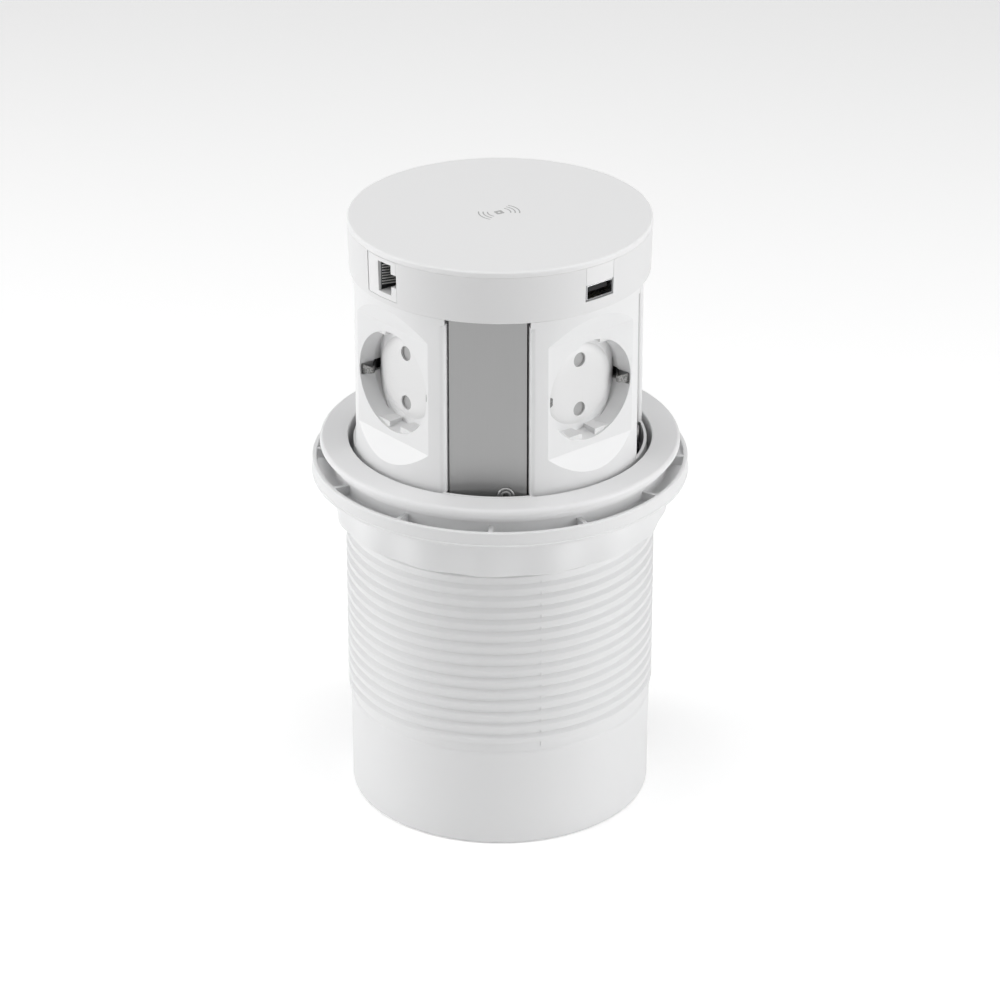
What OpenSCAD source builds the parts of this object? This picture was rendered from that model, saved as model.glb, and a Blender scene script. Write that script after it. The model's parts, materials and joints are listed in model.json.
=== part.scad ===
// Pop-up desk socket in its raised position: a threaded sleeve hangs in the desk top
// and a round column with four earthed sockets, a network jack and a charging lid
// slides up and down in it on a gas strut. Millimetres, +Z up, base at z = 0.

/* [Column] */
// Outer radius of the sliding column
column_r = 53.35; // [52.8:0.05:54]
// Height of the column's underside above the base when it is pushed down
closed_z = 16; // [15:0.5:20]
// Length of the travel
travel = 84; // [70:0.5:90]
// Height of the foot ring's top edge over the column's underside
foot_h = 40; // [36:0.5:41]
// Height of the panels above the foot ring
panel_h = 64.4; // [62:0.1:70]
// Thickness of the head plate
head_t = 2.4; // [2:0.1:5]
// Wall thickness of the socket panels
panel_t = 2.1; // [1.6:0.1:2.6]
// Half angle left open between two panels for the aluminium strip
strip_half_a = 16.4; // [14:0.1:18]
// Depth of the strip's face inside the column's radius
strip_in = 3.95; // [3:0.05:5]
// Width of the aluminium strip
strip_w = 27.4; // [24:0.1:28.4]
// Thickness of the aluminium strip
strip_t = 1.6; // [1:0.1:2]

/* [Sleeve] */
// Clearance between the column and the sleeve's bore
slide_gap = 0.45; // [0.4:0.05:1]
// Wall of the sleeve at the thread's roots
sleeve_wall = 1.4; // [1.2:0.1:3]
// Depth of the screw thread
thread_depth = 1.3; // [1:0.1:1.8]
// Height at which the screw thread begins
thread_z = 39.1; // [30:0.5:60]
// Pitch of the screw thread
thread_pitch = 4.68; // [4:0.02:5.5]
// Step of the plain neck over the thread's crests
neck_step = 0.7; // [0.5:0.1:1.5]

/* [Flange] */
// Height of the seat under the flange above the base, the desk top's upper face
flange_z = 127.6; // [120:0.5:140]
// Thickness of the flange plate under the open channel
flange_plate_t = 1.9; // [1.5:0.1:3]
// Reach of the flange beyond the neck
flange_reach = 11.5; // [10.6:0.1:18]
// Radial thickness of the outer lip
lip_t = 1.9; // [1.2:0.1:2.5]
// Height of the lip above the flange's seat
lip_h = 5.8; // [4.5:0.1:7]
// Height of the hub above the flange's seat
hub_h = 9.3; // [8:0.1:12]
// Wall of the hub inside the channel
hub_wall = 5.6; // [4.6:0.1:6.5]
// Clearance round the cap inside the hub
cap_gap = 0.9; // [0.6:0.1:1.5]
// Number of radial ribs in the channel
rib_n = 12; // [6:1:18]
// Thickness of one radial rib
rib_t = 1.5; // [1:0.1:2.5]
// Direction of the first rib
rib_a = -43; // [-60:1:-30]

/* [Trim collar] */
// Overhang of the trim collar over the hub
collar_over = 4.5; // [3.5:0.1:5.5]
// Thickness of the trim collar
collar_t = 4; // [3:0.1:6]

/* [Ring nut] */
// Height of the ring nut
nut_h = 15.1; // [10:0.1:20]
// Wall of the nut at its grip lobes, outside the sleeve's neck
nut_grip = 3.8; // [3.2:0.1:4.4]
// Depth of the valleys between the lobes
nut_wave = 1.1; // [0.5:0.1:1.6]
// Number of grip lobes
nut_lobes = 16; // [8:1:24]

/* [Sockets] */
// Depth of the flat socket face inside the column's radius
face_cut = 3.75; // [3.4:0.05:4.2]
// Height of the socket's centre above the foot ring
socket_h = 35; // [32:0.5:38]
// Height of the flat face's straight side edges
face_h = 43; // [40:0.5:46]
// Length over which the flat face runs out into the round column, up and down
ramp_h = 8.2; // [5:0.1:9]
// Radius of the recess at the face
recess_r = 18.9; // [18:0.1:19.5]
// Depth of the panel's own part of the recess
bezel_depth = 6; // [4.5:0.1:7]
// Depth of the recess at its wall
recess_depth = 13; // [12:0.1:14]
// Height of the crowned pin plate over the foot of the wall
crown_h = 9; // [7:0.1:9.5]
// Distance between the two pin holes
pin_pitch = 19; // [18.8:0.1:19.2]
// Reach of an earth clip from the wall into the recess
clip_reach = 4; // [2.5:0.1:4.2]
// Radius of a pin hole
pin_hole_r = 2.7; // [2.4:0.05:2.8]

/* [Cap] */
// Overhang of the cap's top over the column
cap_over = 1.15; // [0.9:0.05:1.6]
// Draft of the cap's wall, in radius
cap_draft = 0.5; // [0.2:0.05:0.8]
// Height of the cap
cap_h = 19.9; // [19:0.1:24]
// Thickness of the lid disc
lid_t = 2.2; // [1.8:0.1:3]
// Wall thickness of the cap rim
cap_wall = 2.4; // [1.8:0.1:3]

/* [Gas strut] */
// Outer radius of the strut tube
strut_r = 7.5; // [7:0.1:9]
// Wall thickness of the strut tube
strut_wall = 1.3; // [1:0.1:1.8]
// Radius of the strut rod
strut_rod_r = 3; // [2.5:0.1:4]

/* [Fits] */
// Running clearance between pieces that slide on each other
run_gap = 0.35; // [0.3:0.01:0.4]
// Clearance of a rod in its bush
bush_gap = 0.06; // [0.03:0.01:0.09]
// Assembly clearance between pieces that are fixed together
fit_gap = 0.1; // [0.05:0.01:0.2]

/* [Hidden] */
$fn = 96;

eps = 0.01;
far = 300;

// Radii from the column outwards
sleeve_bore_r = column_r + slide_gap;
thread_root_r = sleeve_bore_r + sleeve_wall;
thread_crest_r = thread_root_r + thread_depth;
sleeve_r = thread_root_r + 0.1;
neck_r = thread_crest_r + neck_step;
lip_r = neck_r + flange_reach;
cap_r = column_r + cap_over;
cap_bottom_r = cap_r - cap_draft;
hub_bore_r = cap_r + cap_gap;
hub_r = hub_bore_r + hub_wall;
collar_r = hub_r + collar_over;
nut_crest_r = neck_r + nut_grip;
strip_d = column_r - strip_in;
face_d = column_r - face_cut;

// Heights from the base upwards, with the column raised
column_z = closed_z + travel;
foot_top_z = column_z + foot_h;
socket_z = foot_top_z + socket_h;
head_z = foot_top_z + panel_h;
cap_z = head_z + head_t;
cap_top_z = cap_z + cap_h;

// Directions of the parts round the column
socket_a = [0, 90, 180, 270];
strip_a = [45, 135, 225, 315];
usb_a = 0;
jack_a = 270;

// Sleeve heights and radii
sleeve_edge_r = 1.5;
plain_top_r = thread_root_r + 0.4;
thread_n = floor((flange_z - 8 - thread_z) / thread_pitch);
thread_top_z = thread_z + thread_n * thread_pitch;
ledge_z = flange_z - 8.6;
lip_in_r = lip_r - lip_t;
lip_top_z = flange_z + lip_h;
channel_z = flange_z + flange_plate_t;
hub_top_z = flange_z + hub_h;
seat_step = 0.3;
seat_in_r = nut_crest_r + 0.4;
collar_hole_r = hub_bore_r - 0.2;
collar_edge_r = 1.3;
cover_t = 3;
cover_r = sleeve_bore_r - fit_gap;
cover_boss_a = [20, 110, 200, 290];
cover_boss_r = sleeve_bore_r - 5.8;
cover_boss_w = 6.8;
cover_screw_r = 1.2;
cover_screw_l = 7.5;
cover_head_r = 2.8;
cover_head_h = 1.4;
cover_pad_r = 12;
cover_pad_t = 1.5;

// Cable's way out through the bottom cover
cable_r = 4.2;
cable_a = 320;
cable_d = 34;
grommet_r = cable_r + 1.2;
grommet_rim_r = grommet_r + 1.2;
grommet_low_z = 0.2;
grommet_rim_t = 0.7;
grommet_top_t = 1.5;

// Guide ring on the ledge inside the hub
guide_r = column_r + run_gap;
guide_h = 3;

// Ring nut
nut_gap = 0.3;
nut_top_z = flange_z - nut_gap;
nut_z = nut_top_z - nut_h;
nut_step_z = thread_top_z - 0.4;

// Column foot
foot_t = 4;
foot_wall = 1.6;
foot_in_r = column_r - foot_wall;
foot_lip_t = 1.05;
foot_lip_h = 8;
post_w = 7.6;
post_t = 5.2;
post_top_z = foot_top_z + 4;
foot_hole_a = [75, 150, 285];
foot_hole_d = 28;
foot_hole_r = 5;

// Corner strips and their screws
strip_screw_off = 6.4;
strip_screw_z = foot_top_z - 0.6;
strip_screw_r = 1.6;
strip_screw_l = 4.5;
strip_head_r = 3.2;
strip_head_h = 1.3;
strip_z = column_z + foot_t;
strip_top_z = cap_z - fit_gap;
strip_web = 5;
strip_web_t = 1.4;
strip_web_in = 2.4;

// Mains terminal block
block_x = -27;
block_y = 20.5;
block_w = 22;
block_d = 13;
block_h = 11;
block_ways = 3;
block_pitch = 7.5;
block_wire_r = 1.9;
block_screw_r = 1.6;
block_wire_z = cover_t + 5;

// Push latch
latch_x = 34;
latch_l = 14;
latch_w = 9;
latch_h = closed_z - cover_t - 3.5;
latch_wall = 1.6;
latch_pin_r = 0.9;
latch_pin_x = latch_x - 3;
latch_pin_z = cover_t + 4;
latch_hub_r = 2;
latch_hook_w = 4;
latch_hook_h = latch_h - 3.3;
latch_nose_h = 1.8;
latch_spring_t = 0.4;
striker_l = 8;
striker_w = 5;
striker_t = 2.6;
striker_nose = 1.3;

// Guide rod and its bush
guide_rod_r = 3;
guide_rod_d = 36;
guide_rod_a = 225;
guide_rod_top_z = column_z + foot_t + 8;
guide_bush_r = 5;

// Panels
panel_half_a = 45 - strip_half_a;
panel_in_r = column_r - panel_t;
panel_edge_t = 1.6;
panel_edge_r = strip_d - strip_t - 1.2;
tongue_r = column_r - foot_lip_t - fit_gap;
bezel_r = recess_r + 1.6;
face_in_d = face_d - panel_t;

panel_tongue_h = 6;
panel_tongue_t = 1.6;
tongue_in_r = tongue_r - panel_tongue_t;

// Socket inserts, counted inwards from the flat face
insert_z0 = bezel_depth + fit_gap;
insert_r = recess_r - 0.35;
insert_out_r = recess_r + 1.2;
insert_floor_t = 2.4;
cup_d0 = face_d - recess_depth - insert_floor_t;
insert_back_d = cup_d0 - 16.7;
insert_half_w = 12.5;
insert_half_h = 15.5;
insert_t = 1.6;
crown_t = 0.8;
crown_r = (insert_r * insert_r + crown_h * crown_h) / (2 * crown_h);
guide_chord = recess_r - 2.5;
guide_front = 0.9;
guide_slot_w = [6, 10];
clip_w = 3.6;
clip_tip_w = 2.2;
clip_slot_w = clip_w + 0.7;
clip_slot_depth = recess_depth - 2.2;
clip_drop = 1.3;
clip_t = 0.8;
clip_skin = 0.5;
clip_leg_y = recess_r + 2;
clip_peak_d = face_d - 2.9;
clip_tip_d = face_d - 1.2;
clip_bend_d = face_d - 9.6;
shutter_gap = 0.25;
shutter_w = 6.6;
shutter_r = 12.6;
shutter_hub_r = 2;
wire_hole_r = 1.5;
carrier_gap = 0.4;
carrier_d0 = insert_back_d + 3;
carrier_d1 = cup_d0 + 2.8;
carrier_half_w = insert_half_w - insert_t - fit_gap;
carrier_half_h = insert_half_h - insert_t - fit_gap;
rotor_r = 13;
spring_r = 3.4;
spring_in_r = 2.6;
spring_h = 1.4;
sleeve_out_r = 3.3;
sleeve_in_r = 2.35;
tail_r = 1.3;
link_out_r = insert_back_d - 0.4;
link_t = 1.2;
link_h = 5;
earth_bar_t = 1;

// Gas strut
strut_top_z = head_z;
strut_z = column_z + foot_t;
strut_end_t = 3;
strut_foot_r = 9;
strut_foot_h = 7;
gland_h = 6;
rod_base_z = cover_t + 3;
rod_top_z = strut_z + gland_h + 7;
piston_r = strut_r - strut_wall - bush_gap;
piston_h = 5;

// Cap
lid_seat_z = cap_top_z - lid_t;
lid_edge_r = 0.8;
coil_in_r = 9;
coil_r = 21;
coil_h = 1.4;
ferrite_h = 1.2;
board_t = 1.6;
board_r = cap_r - 7.5;
board_l = 90;
board_w = 56;
board_x = -30;
post_n = 4;
post_a = 20;
post_d = 25;
post_r = 2.4;
post_pin_r = 1.3;
cap_floor_t = 2.2;
cap_floor_in_r = 36;
cap_screw_d = 40;
cap_screw_r = 1.2;
ferrite_w = 46;
lid_ring_h = 1.6;
lid_ring_t = 1.5;

// Ports in the cap wall
usb_w = 12.6;
usb_slot_w = 12;
usb_slot_h = 5.6;
usb_slot_z = [lid_seat_z - 6.9 - usb_slot_h, lid_seat_z - 6.9];
usb_z0 = usb_slot_z[0] - 0.2;
jack_w = 15.2;
jack_z = [cap_z + cap_floor_t + 0.2, lid_seat_z - 0.3];
jack_slot_w = 6.7;
jack_slot_h = 11.4;
jack_mid_z = (jack_z[0] + jack_z[1]) / 2 + 0.3;
jack_slot_off = 1.8;
jack_key_w = 2.5;
jack_key_h = 4.8;
port_depth = 14;
port_face_t = 4.6;
shell_t = 0.4;
contact_n = 8;
contact_pitch = 1.02;
contact_w = 0.5;
charger_board_z = usb_slot_z[1] + fit_gap;

// A ring between two radii and two heights
module ring(r_out, r_in, z0, z1) {
    rotate_extrude() translate([r_in, z0]) square([r_out - r_in, z1 - z0]);
}

// Children moved out along direction a, looking outwards: x is outwards, y to the side
module face_at(a) {
    rotate([0, 0, a]) children();
}

// A cylinder whose axis points outwards from the column axis, from distance d0 to d1
module radial_cylinder(r, d0, d1, y = 0, z = 0) {
    translate([d0, y, z]) rotate([0, 90, 0]) cylinder(r = r, h = d1 - d0);
}

// A box between two radial distances, centred sideways and in height on y and z
module radial_box(d0, d1, w, h, y = 0, z = 0) {
    translate([d0, y - w / 2, z - h / 2]) cube([d1 - d0, w, h]);
}

// A pan head screw standing on z = 0 with its shank below
module screw(head_r, head_h, shank_r, shank_l) {
    difference() {
        union() {
            cylinder(r = head_r, h = head_h);
            translate([0, 0, -shank_l]) cylinder(r = shank_r, h = shank_l + eps);
        }
        translate([0, 0, head_h * 0.45]) cylinder(r = head_r * 0.5, h = head_h, $fn = 6);
    }
}

// Outline of the sleeve's wall as a section, with thread ridges up to the neck
function thread_points() = [
    for (i = [0 : thread_n - 1])
        each [
            [thread_root_r, thread_z + i * thread_pitch + thread_pitch * 0.10],
            [thread_crest_r, thread_z + i * thread_pitch + thread_pitch * 0.25],
            [thread_crest_r, thread_z + i * thread_pitch + thread_pitch * 0.62],
            [thread_root_r, thread_z + i * thread_pitch + thread_pitch * 0.92]
        ]
];

module sleeve_section() {
    polygon(concat(
        [[sleeve_bore_r, cover_t], [sleeve_bore_r, 0], [sleeve_r - sleeve_edge_r, 0],
         [sleeve_r - sleeve_edge_r * 0.3, sleeve_edge_r * 0.3], [sleeve_r, sleeve_edge_r],
         [plain_top_r, thread_z - 1.5], [thread_root_r, thread_z - 0.6]],
        thread_points(),
        [[neck_r, thread_top_z + 0.6], [neck_r, flange_z + seat_step], [seat_in_r, flange_z + seat_step],
         [seat_in_r, flange_z], [lip_r - 0.5, flange_z],
         [lip_r, flange_z + 0.5], [lip_r, lip_top_z - 0.5], [lip_r - 0.4, lip_top_z],
         [lip_in_r + 0.3, lip_top_z], [lip_in_r, lip_top_z - 0.3], [lip_in_r, channel_z],
         [hub_r, channel_z], [hub_r, hub_top_z], [hub_bore_r, hub_top_z],
         [hub_bore_r, ledge_z], [sleeve_bore_r, ledge_z]]));
}

// Threaded sleeve with flange, channel ribs and screw bosses, one moulding
module housing_sleeve() {
    color("whitesmoke")
    difference() {
        union() {
            rotate_extrude() sleeve_section();
            for (i = [0 : rib_n - 1])
                rotate([0, 0, rib_a + i * 360 / rib_n])
                translate([hub_r - 0.3, -rib_t / 2, channel_z - 0.2])
                cube([lip_in_r - hub_r + 0.6, rib_t, lip_top_z - 0.4 - channel_z + 0.2]);
            for (a = cover_boss_a)
                rotate([0, 0, a])
                intersection() {
                    translate([cover_boss_r - cover_boss_w / 2, -cover_boss_w / 2, cover_t])
                    cube([cover_boss_w * 2, cover_boss_w, closed_z - cover_t - 3]);
                    cylinder(r = sleeve_bore_r + 0.2, h = far);
                }
        }
        for (a = cover_boss_a)
            rotate([0, 0, a])
            translate([cover_boss_r, 0, cover_t - eps])
            cylinder(r = cover_screw_r + fit_gap / 2, h = cover_screw_l + 0.5);
    }
}

// Trim collar that covers the channel's inner edge, with a low rib that grips the hub
module trim_collar() {
    color("white")
    rotate_extrude() {
        polygon([[collar_hole_r, hub_top_z], [collar_r - collar_edge_r, hub_top_z],
                 [collar_r - 0.35, hub_top_z + 0.45], [collar_r, hub_top_z + collar_edge_r],
                 [collar_r, hub_top_z + collar_t - collar_edge_r],
                 [collar_r - 0.4, hub_top_z + collar_t - 0.45],
                 [collar_r - collar_edge_r, hub_top_z + collar_t - 0.05],
                 [(collar_r + collar_hole_r) / 2, hub_top_z + collar_t],
                 [collar_hole_r + 0.5, hub_top_z + collar_t - 0.05],
                 [collar_hole_r, hub_top_z + collar_t - 0.5]]);
        translate([hub_r + fit_gap, hub_top_z - 2]) square([1.4, 2 + eps]);
    }
}

// Low-friction ring on the ledge inside the hub
module guide_ring() {
    color("white")
    rotate_extrude()
    polygon([[guide_r + 0.3, ledge_z], [hub_bore_r - fit_gap, ledge_z],
             [hub_bore_r - fit_gap, ledge_z + guide_h], [guide_r + 0.5, ledge_z + guide_h],
             [guide_r, ledge_z + guide_h - 0.6], [guide_r, ledge_z + 0.4]]);
}

// Wavy outline of the ring nut's grip
function nut_r(a) = nut_crest_r - nut_wave * (1 - cos(nut_lobes * (a - rib_a + 1.4))) / 2;

// Clamping nut on the sleeve thread, under the flange
module ring_nut() {
    color("whitesmoke")
    difference() {
        translate([0, 0, nut_z])
        linear_extrude(height = nut_top_z - nut_z)
        polygon([for (i = [0 : 191]) let (a = i * 360 / 192) [nut_r(a) * cos(a), nut_r(a) * sin(a)]]);
        translate([0, 0, nut_z - eps]) cylinder(r = thread_crest_r + run_gap, h = far, $fn = 128);
        translate([0, 0, nut_step_z]) cylinder(r = neck_r + run_gap, h = far, $fn = 128);
    }
}

// Bottom cover, screwed to the bosses inside the sleeve
module bottom_cover() {
    color("whitesmoke")
    difference() {
        union() {
            cylinder(r = cover_r, h = cover_t);
            translate([0, 0, cover_t - eps]) cylinder(r = cover_pad_r, h = cover_pad_t + eps);
        }
        for (a = cover_boss_a)
            rotate([0, 0, a])
            translate([cover_boss_r, 0, -eps]) {
                cylinder(r = cover_screw_r + 0.5, h = cover_t + 1);
                cylinder(r = cover_head_r + 0.2, h = cover_head_h + 0.3);
            }
        for (a = [20 : 40 : 340], d = [26, 33])
            rotate([0, 0, a]) translate([d, 0, -eps]) cylinder(r = 1.5, h = cover_t + 1);
        rotate([0, 0, guide_rod_a])
        translate([guide_rod_d, 0, 1]) cylinder(r = guide_rod_r + fit_gap / 2, h = cover_t);
        at_cable() {
            cylinder(r = grommet_r + fit_gap / 2, h = far);
            translate([0, 0, -eps])
            cylinder(r = grommet_rim_r + fit_gap, h = grommet_low_z + grommet_rim_t + fit_gap + eps);
        }
    }
}

module cover_screws() {
    color("silver")
    for (a = cover_boss_a)
        rotate([0, 0, a])
        translate([cover_boss_r, 0, cover_head_h + 0.3 - eps]) rotate([180, 0, 0])
        screw(cover_head_r, cover_head_h, cover_screw_r, cover_screw_l);
}

// Children at the cable's way out
module at_cable() {
    rotate([0, 0, cable_a]) translate([cable_d, 0, 0]) children();
}

// Soft bush that lines the cable's way out of the bottom cover
module cable_grommet() {
    rim_z = grommet_low_z + grommet_rim_t;
    top_z = cover_t + fit_gap / 2;
    color("lightgray")
    at_cable()
    rotate_extrude()
    polygon([[cable_r, grommet_low_z], [grommet_rim_r, grommet_low_z], [grommet_rim_r, rim_z],
             [grommet_r, rim_z], [grommet_r, top_z], [grommet_rim_r, top_z],
             [grommet_rim_r, top_z + 0.6], [grommet_r - 0.3, top_z + grommet_top_t],
             [cable_r, top_z + grommet_top_t]]);
}

// Terminal block where the mains lead is joined to the leads of the column
module terminal_block() {
    color("ivory")
    difference() {
        translate([block_x - block_w / 2, block_y - block_d / 2, cover_t])
        cube([block_w, block_d, block_h]);
        for (i = [0 : block_ways - 1])
            translate([block_x + (i - (block_ways - 1) / 2) * block_pitch, block_y, block_wire_z]) {
                rotate([-90, 0, 0]) cylinder(r = block_wire_r, h = block_d + 2, center = true);
                cylinder(r = block_screw_r, h = block_h);
            }
    }
}

// Socket on the bottom cover that holds the strut's rod
module strut_foot() {
    color("dimgray")
    difference() {
        translate([0, 0, cover_t + cover_pad_t]) cylinder(r = strut_foot_r, h = strut_foot_h);
        translate([0, 0, rod_base_z]) cylinder(r = strut_rod_r + fit_gap / 2, h = strut_foot_h + 1);
    }
}

// Rod and piston of the gas strut
module strut_rod() {
    color("silver") {
        translate([0, 0, rod_base_z]) cylinder(r = strut_rod_r, h = rod_top_z - rod_base_z);
        translate([0, 0, rod_top_z - piston_h]) cylinder(r = piston_r, h = piston_h);
    }
}

// Rod that keeps the column from turning
module guide_rod() {
    color("silver")
    rotate([0, 0, guide_rod_a])
    translate([guide_rod_d, 0, 1]) cylinder(r = guide_rod_r, h = guide_rod_top_z - 1);
}

// Push latch on the bottom cover: its hook grips the striker under the foot
module latch_body() {
    color("dimgray")
    difference() {
        translate([latch_x - latch_l / 2, -latch_w / 2, cover_t]) cube([latch_l, latch_w, latch_h]);
        translate([latch_x - latch_l / 2 + latch_wall, -latch_w / 2 + 1.5, cover_t + 1.5])
        cube([latch_l - 2 * latch_wall, latch_w - 3, latch_h]);
    }
    color("silver")
    translate([latch_pin_x, 0, latch_pin_z]) rotate([90, 0, 0])
    cylinder(r = latch_pin_r, h = latch_w - 2, center = true);
}

// Hook of the latch on its pin
module latch_hook() {
    color("orange")
    translate([latch_pin_x, 0, latch_pin_z])
    difference() {
        union() {
            rotate([90, 0, 0]) cylinder(r = latch_hub_r, h = latch_hook_w, center = true);
            translate([-1, -latch_hook_w / 2, 0]) cube([2, latch_hook_w, latch_hook_h]);
            translate([-1, -latch_hook_w / 2, latch_hook_h - 2])
            cube([2.5, latch_hook_w, latch_nose_h]);
        }
        rotate([90, 0, 0]) cylinder(r = latch_pin_r + bush_gap, h = latch_w, center = true);
    }
}

// Leaf spring that pushes the hook towards the striker
module latch_spring() {
    color("silver")
    translate([latch_x - latch_l / 2 + latch_wall, -1.5, cover_t + 1.5])
    cube([latch_spring_t, 3, latch_h - 1.5]);
}

// Cup under the column: foot plate, bush for the guide rod, striker and thin foot ring
module column_foot() {
    color("white")
    difference() {
        union() {
            translate([0, 0, column_z]) cylinder(r = column_r, h = foot_t);
            rotate_extrude()
            polygon([[foot_in_r, column_z + foot_t - eps], [column_r, column_z + foot_t - eps],
                     [column_r, foot_top_z - 0.2], [column_r - 0.2, foot_top_z],
                     [column_r - foot_lip_t, foot_top_z],
                     [column_r - foot_lip_t, foot_top_z - foot_lip_h],
                     [foot_in_r, foot_top_z - foot_lip_h - 1]]);
            rotate([0, 0, guide_rod_a])
            translate([guide_rod_d, 0, column_z]) cylinder(r = guide_bush_r, h = foot_t + 4);
            translate([latch_x, -striker_w / 2, column_z - striker_l])
            cube([striker_t, striker_w, striker_l + eps]);
            translate([latch_x - striker_nose, -striker_w / 2, column_z - striker_l])
            cube([striker_nose + eps, striker_w, striker_nose]);
            for (a = strip_a)
                face_at(a)
                radial_box(strip_d - strip_t - fit_gap - post_t, strip_d - strip_t - fit_gap, post_w,
                           post_top_z - column_z - 1, strip_screw_off, (post_top_z + column_z + 1) / 2);
        }
        translate([0, 0, column_z - eps]) cylinder(r = strut_rod_r + 3, h = foot_t + 1);
        rotate([0, 0, guide_rod_a])
        translate([guide_rod_d, 0, column_z - eps]) cylinder(r = guide_rod_r + bush_gap, h = foot_t + 6);
        for (a = strip_a)
            face_at(a)
            radial_cylinder(strip_screw_r + fit_gap / 2, strip_d - strip_t - post_t + 0.6, strip_d,
                            strip_screw_off, strip_screw_z);
        for (a = foot_hole_a)
            rotate([0, 0, a]) translate([foot_hole_d, 0, column_z - eps])
            cylinder(r = foot_hole_r, h = foot_t + 1);
    }
}

// Pressure tube of the gas strut, hung from the head plate
module strut_tube() {
    color("dimgray")
    difference() {
        translate([0, 0, strut_z]) cylinder(r = strut_r, h = strut_top_z - strut_z);
        translate([0, 0, strut_z - eps])
        cylinder(r = strut_r - strut_wall, h = strut_top_z - strut_z - strut_end_t);
    }
}

// Sealing gland at the mouth of the strut tube
module strut_gland() {
    color("black")
    difference() {
        translate([0, 0, strut_z]) cylinder(r = strut_r - strut_wall, h = gland_h);
        translate([0, 0, strut_z - eps]) cylinder(r = strut_rod_r + bush_gap, h = gland_h + 1);
    }
}

// Space in front of a flat face at distance d that runs out in a ramp at each end
module face_prism(d) {
    half = face_h / 2;
    run = column_r - face_d;
    out = 2 * run;
    translate([0, column_r, socket_z])
    rotate([90, 0, 0])
    linear_extrude(height = 2 * column_r)
    polygon([[d, -half], [d + out, -half - ramp_h * out / run], [d + out, half + ramp_h * out / run],
             [d, half]]);
}

// Solid between two radii within the panel's angle
module panel_sector(r_out, z0, z1, half_a) {
    rotate([0, 0, -half_a])
    rotate_extrude(angle = 2 * half_a)
    translate([0, z0]) square([r_out, z1 - z0]);
}

// Moulded panel with flat face, recess bezel, folded side edges and a tongue in the foot ring
module socket_panel(a) {
    color("white")
    face_at(a)
    difference() {
        union() {
            difference() {
                panel_sector(column_r, foot_top_z, head_z, panel_half_a);
                face_prism(face_d);
                difference() {
                    panel_sector(panel_in_r, foot_top_z - 1, head_z + 1,
                                 panel_half_a - panel_edge_t / column_r * 57.3);
                    face_prism(face_in_d);
                }
                cylinder(r = panel_edge_r, h = far);
            }
            panel_tongue();
            radial_cylinder(bezel_r, face_d - bezel_depth, face_d - 0.5, 0, socket_z);
        }
        radial_cylinder(recess_r, face_d - bezel_depth - 1, face_d + 5, 0, socket_z);
        for (s = [-1, 1])
            radial_box(face_d - bezel_depth - 1, face_d - clip_skin, 4, clip_slot_w,
                       s * (recess_r + 0.1), socket_z - clip_drop);
    }
}

// Lower edge of a panel that stands inside the foot ring
module panel_tongue() {
    rotate([0, 0, -panel_half_a + 1])
    rotate_extrude(angle = 2 * panel_half_a - 2)
    polygon([[tongue_in_r, foot_top_z - panel_tongue_h], [tongue_r, foot_top_z - panel_tongue_h],
             [tongue_r, foot_top_z + 1],
             [panel_in_r - 0.2, foot_top_z + 2.5], [panel_in_r - 0.2, foot_top_z + 3],
             [tongue_in_r, foot_top_z + 1.5]]);
}
module socket_panel_1() { socket_panel(socket_a[0]); }
module socket_panel_2() { socket_panel(socket_a[1]); }
module socket_panel_3() { socket_panel(socket_a[2]); }
module socket_panel_4() { socket_panel(socket_a[3]); }

// Flat satin aluminium strip between two panels, with a return at each side
module corner_strip(a) {
    color("darkgray")
    face_at(a)
    difference() {
        union() {
            radial_box(strip_d - strip_t, strip_d, strip_w, strip_top_z - strip_z, 0,
                       (strip_top_z + strip_z) / 2);
            for (s = [-1, 1])
                radial_box(strip_d - strip_web, strip_d - strip_t + eps, strip_web_t, strip_top_z - strip_z,
                           s * (strip_w / 2 - strip_web_in), (strip_top_z + strip_z) / 2);
        }
        radial_cylinder(strip_screw_r + fit_gap, strip_d - strip_web - 1, strip_d + 1, strip_screw_off,
                        strip_screw_z);
    }
}
module corner_strip_1() { corner_strip(strip_a[0]); }
module corner_strip_2() { corner_strip(strip_a[1]); }
module corner_strip_3() { corner_strip(strip_a[2]); }
module corner_strip_4() { corner_strip(strip_a[3]); }

// Screws near the foot of the strips, seated on the aluminium
module strip_screws() {
    color("silver")
    for (a = strip_a)
        face_at(a)
        translate([strip_d, strip_screw_off, strip_screw_z]) rotate([0, 90, 0])
        screw(strip_head_r, strip_head_h, strip_screw_r, strip_screw_l);
}

// Distance from the column axis of the crowned plate, gap under its face, at radius r
function crown_d(r, gap) = face_d - recess_depth + crown_h - crown_r
    + sqrt((crown_r - gap) * (crown_r - gap) - r * r);

// Points along the crown's arc between two radii
function crown_arc(r0, r1, gap, n = 6) = [
    for (i = [0 : n])
        let (r = r0 + (r1 - r0) * i / n)
        [r, crown_d(r, gap)]
];

// Children drawn as a section of radius and distance, turned about the socket's axis
module socket_turned() {
    translate([0, 0, socket_z]) rotate([0, 90, 0]) rotate_extrude() children();
}

// Pair of guide teeth at the bottom (i = 0) or top (i = 1) of the recess, cut off along a chord
module insert_guide(i) {
    floor_d = face_d - recess_depth;
    z0 = socket_z + (2 * i - 1) * (guide_chord + recess_r / 2);
    intersection() {
        difference() {
            radial_box(floor_d - 0.4, face_d - guide_front, 2 * recess_r, recess_r, 0, z0);
            radial_box(floor_d - 1, face_d, guide_slot_w[i], recess_r + 1, 0, z0);
        }
        radial_cylinder(recess_r - fit_gap, floor_d - 1, face_d, 0, socket_z);
    }
}

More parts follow.
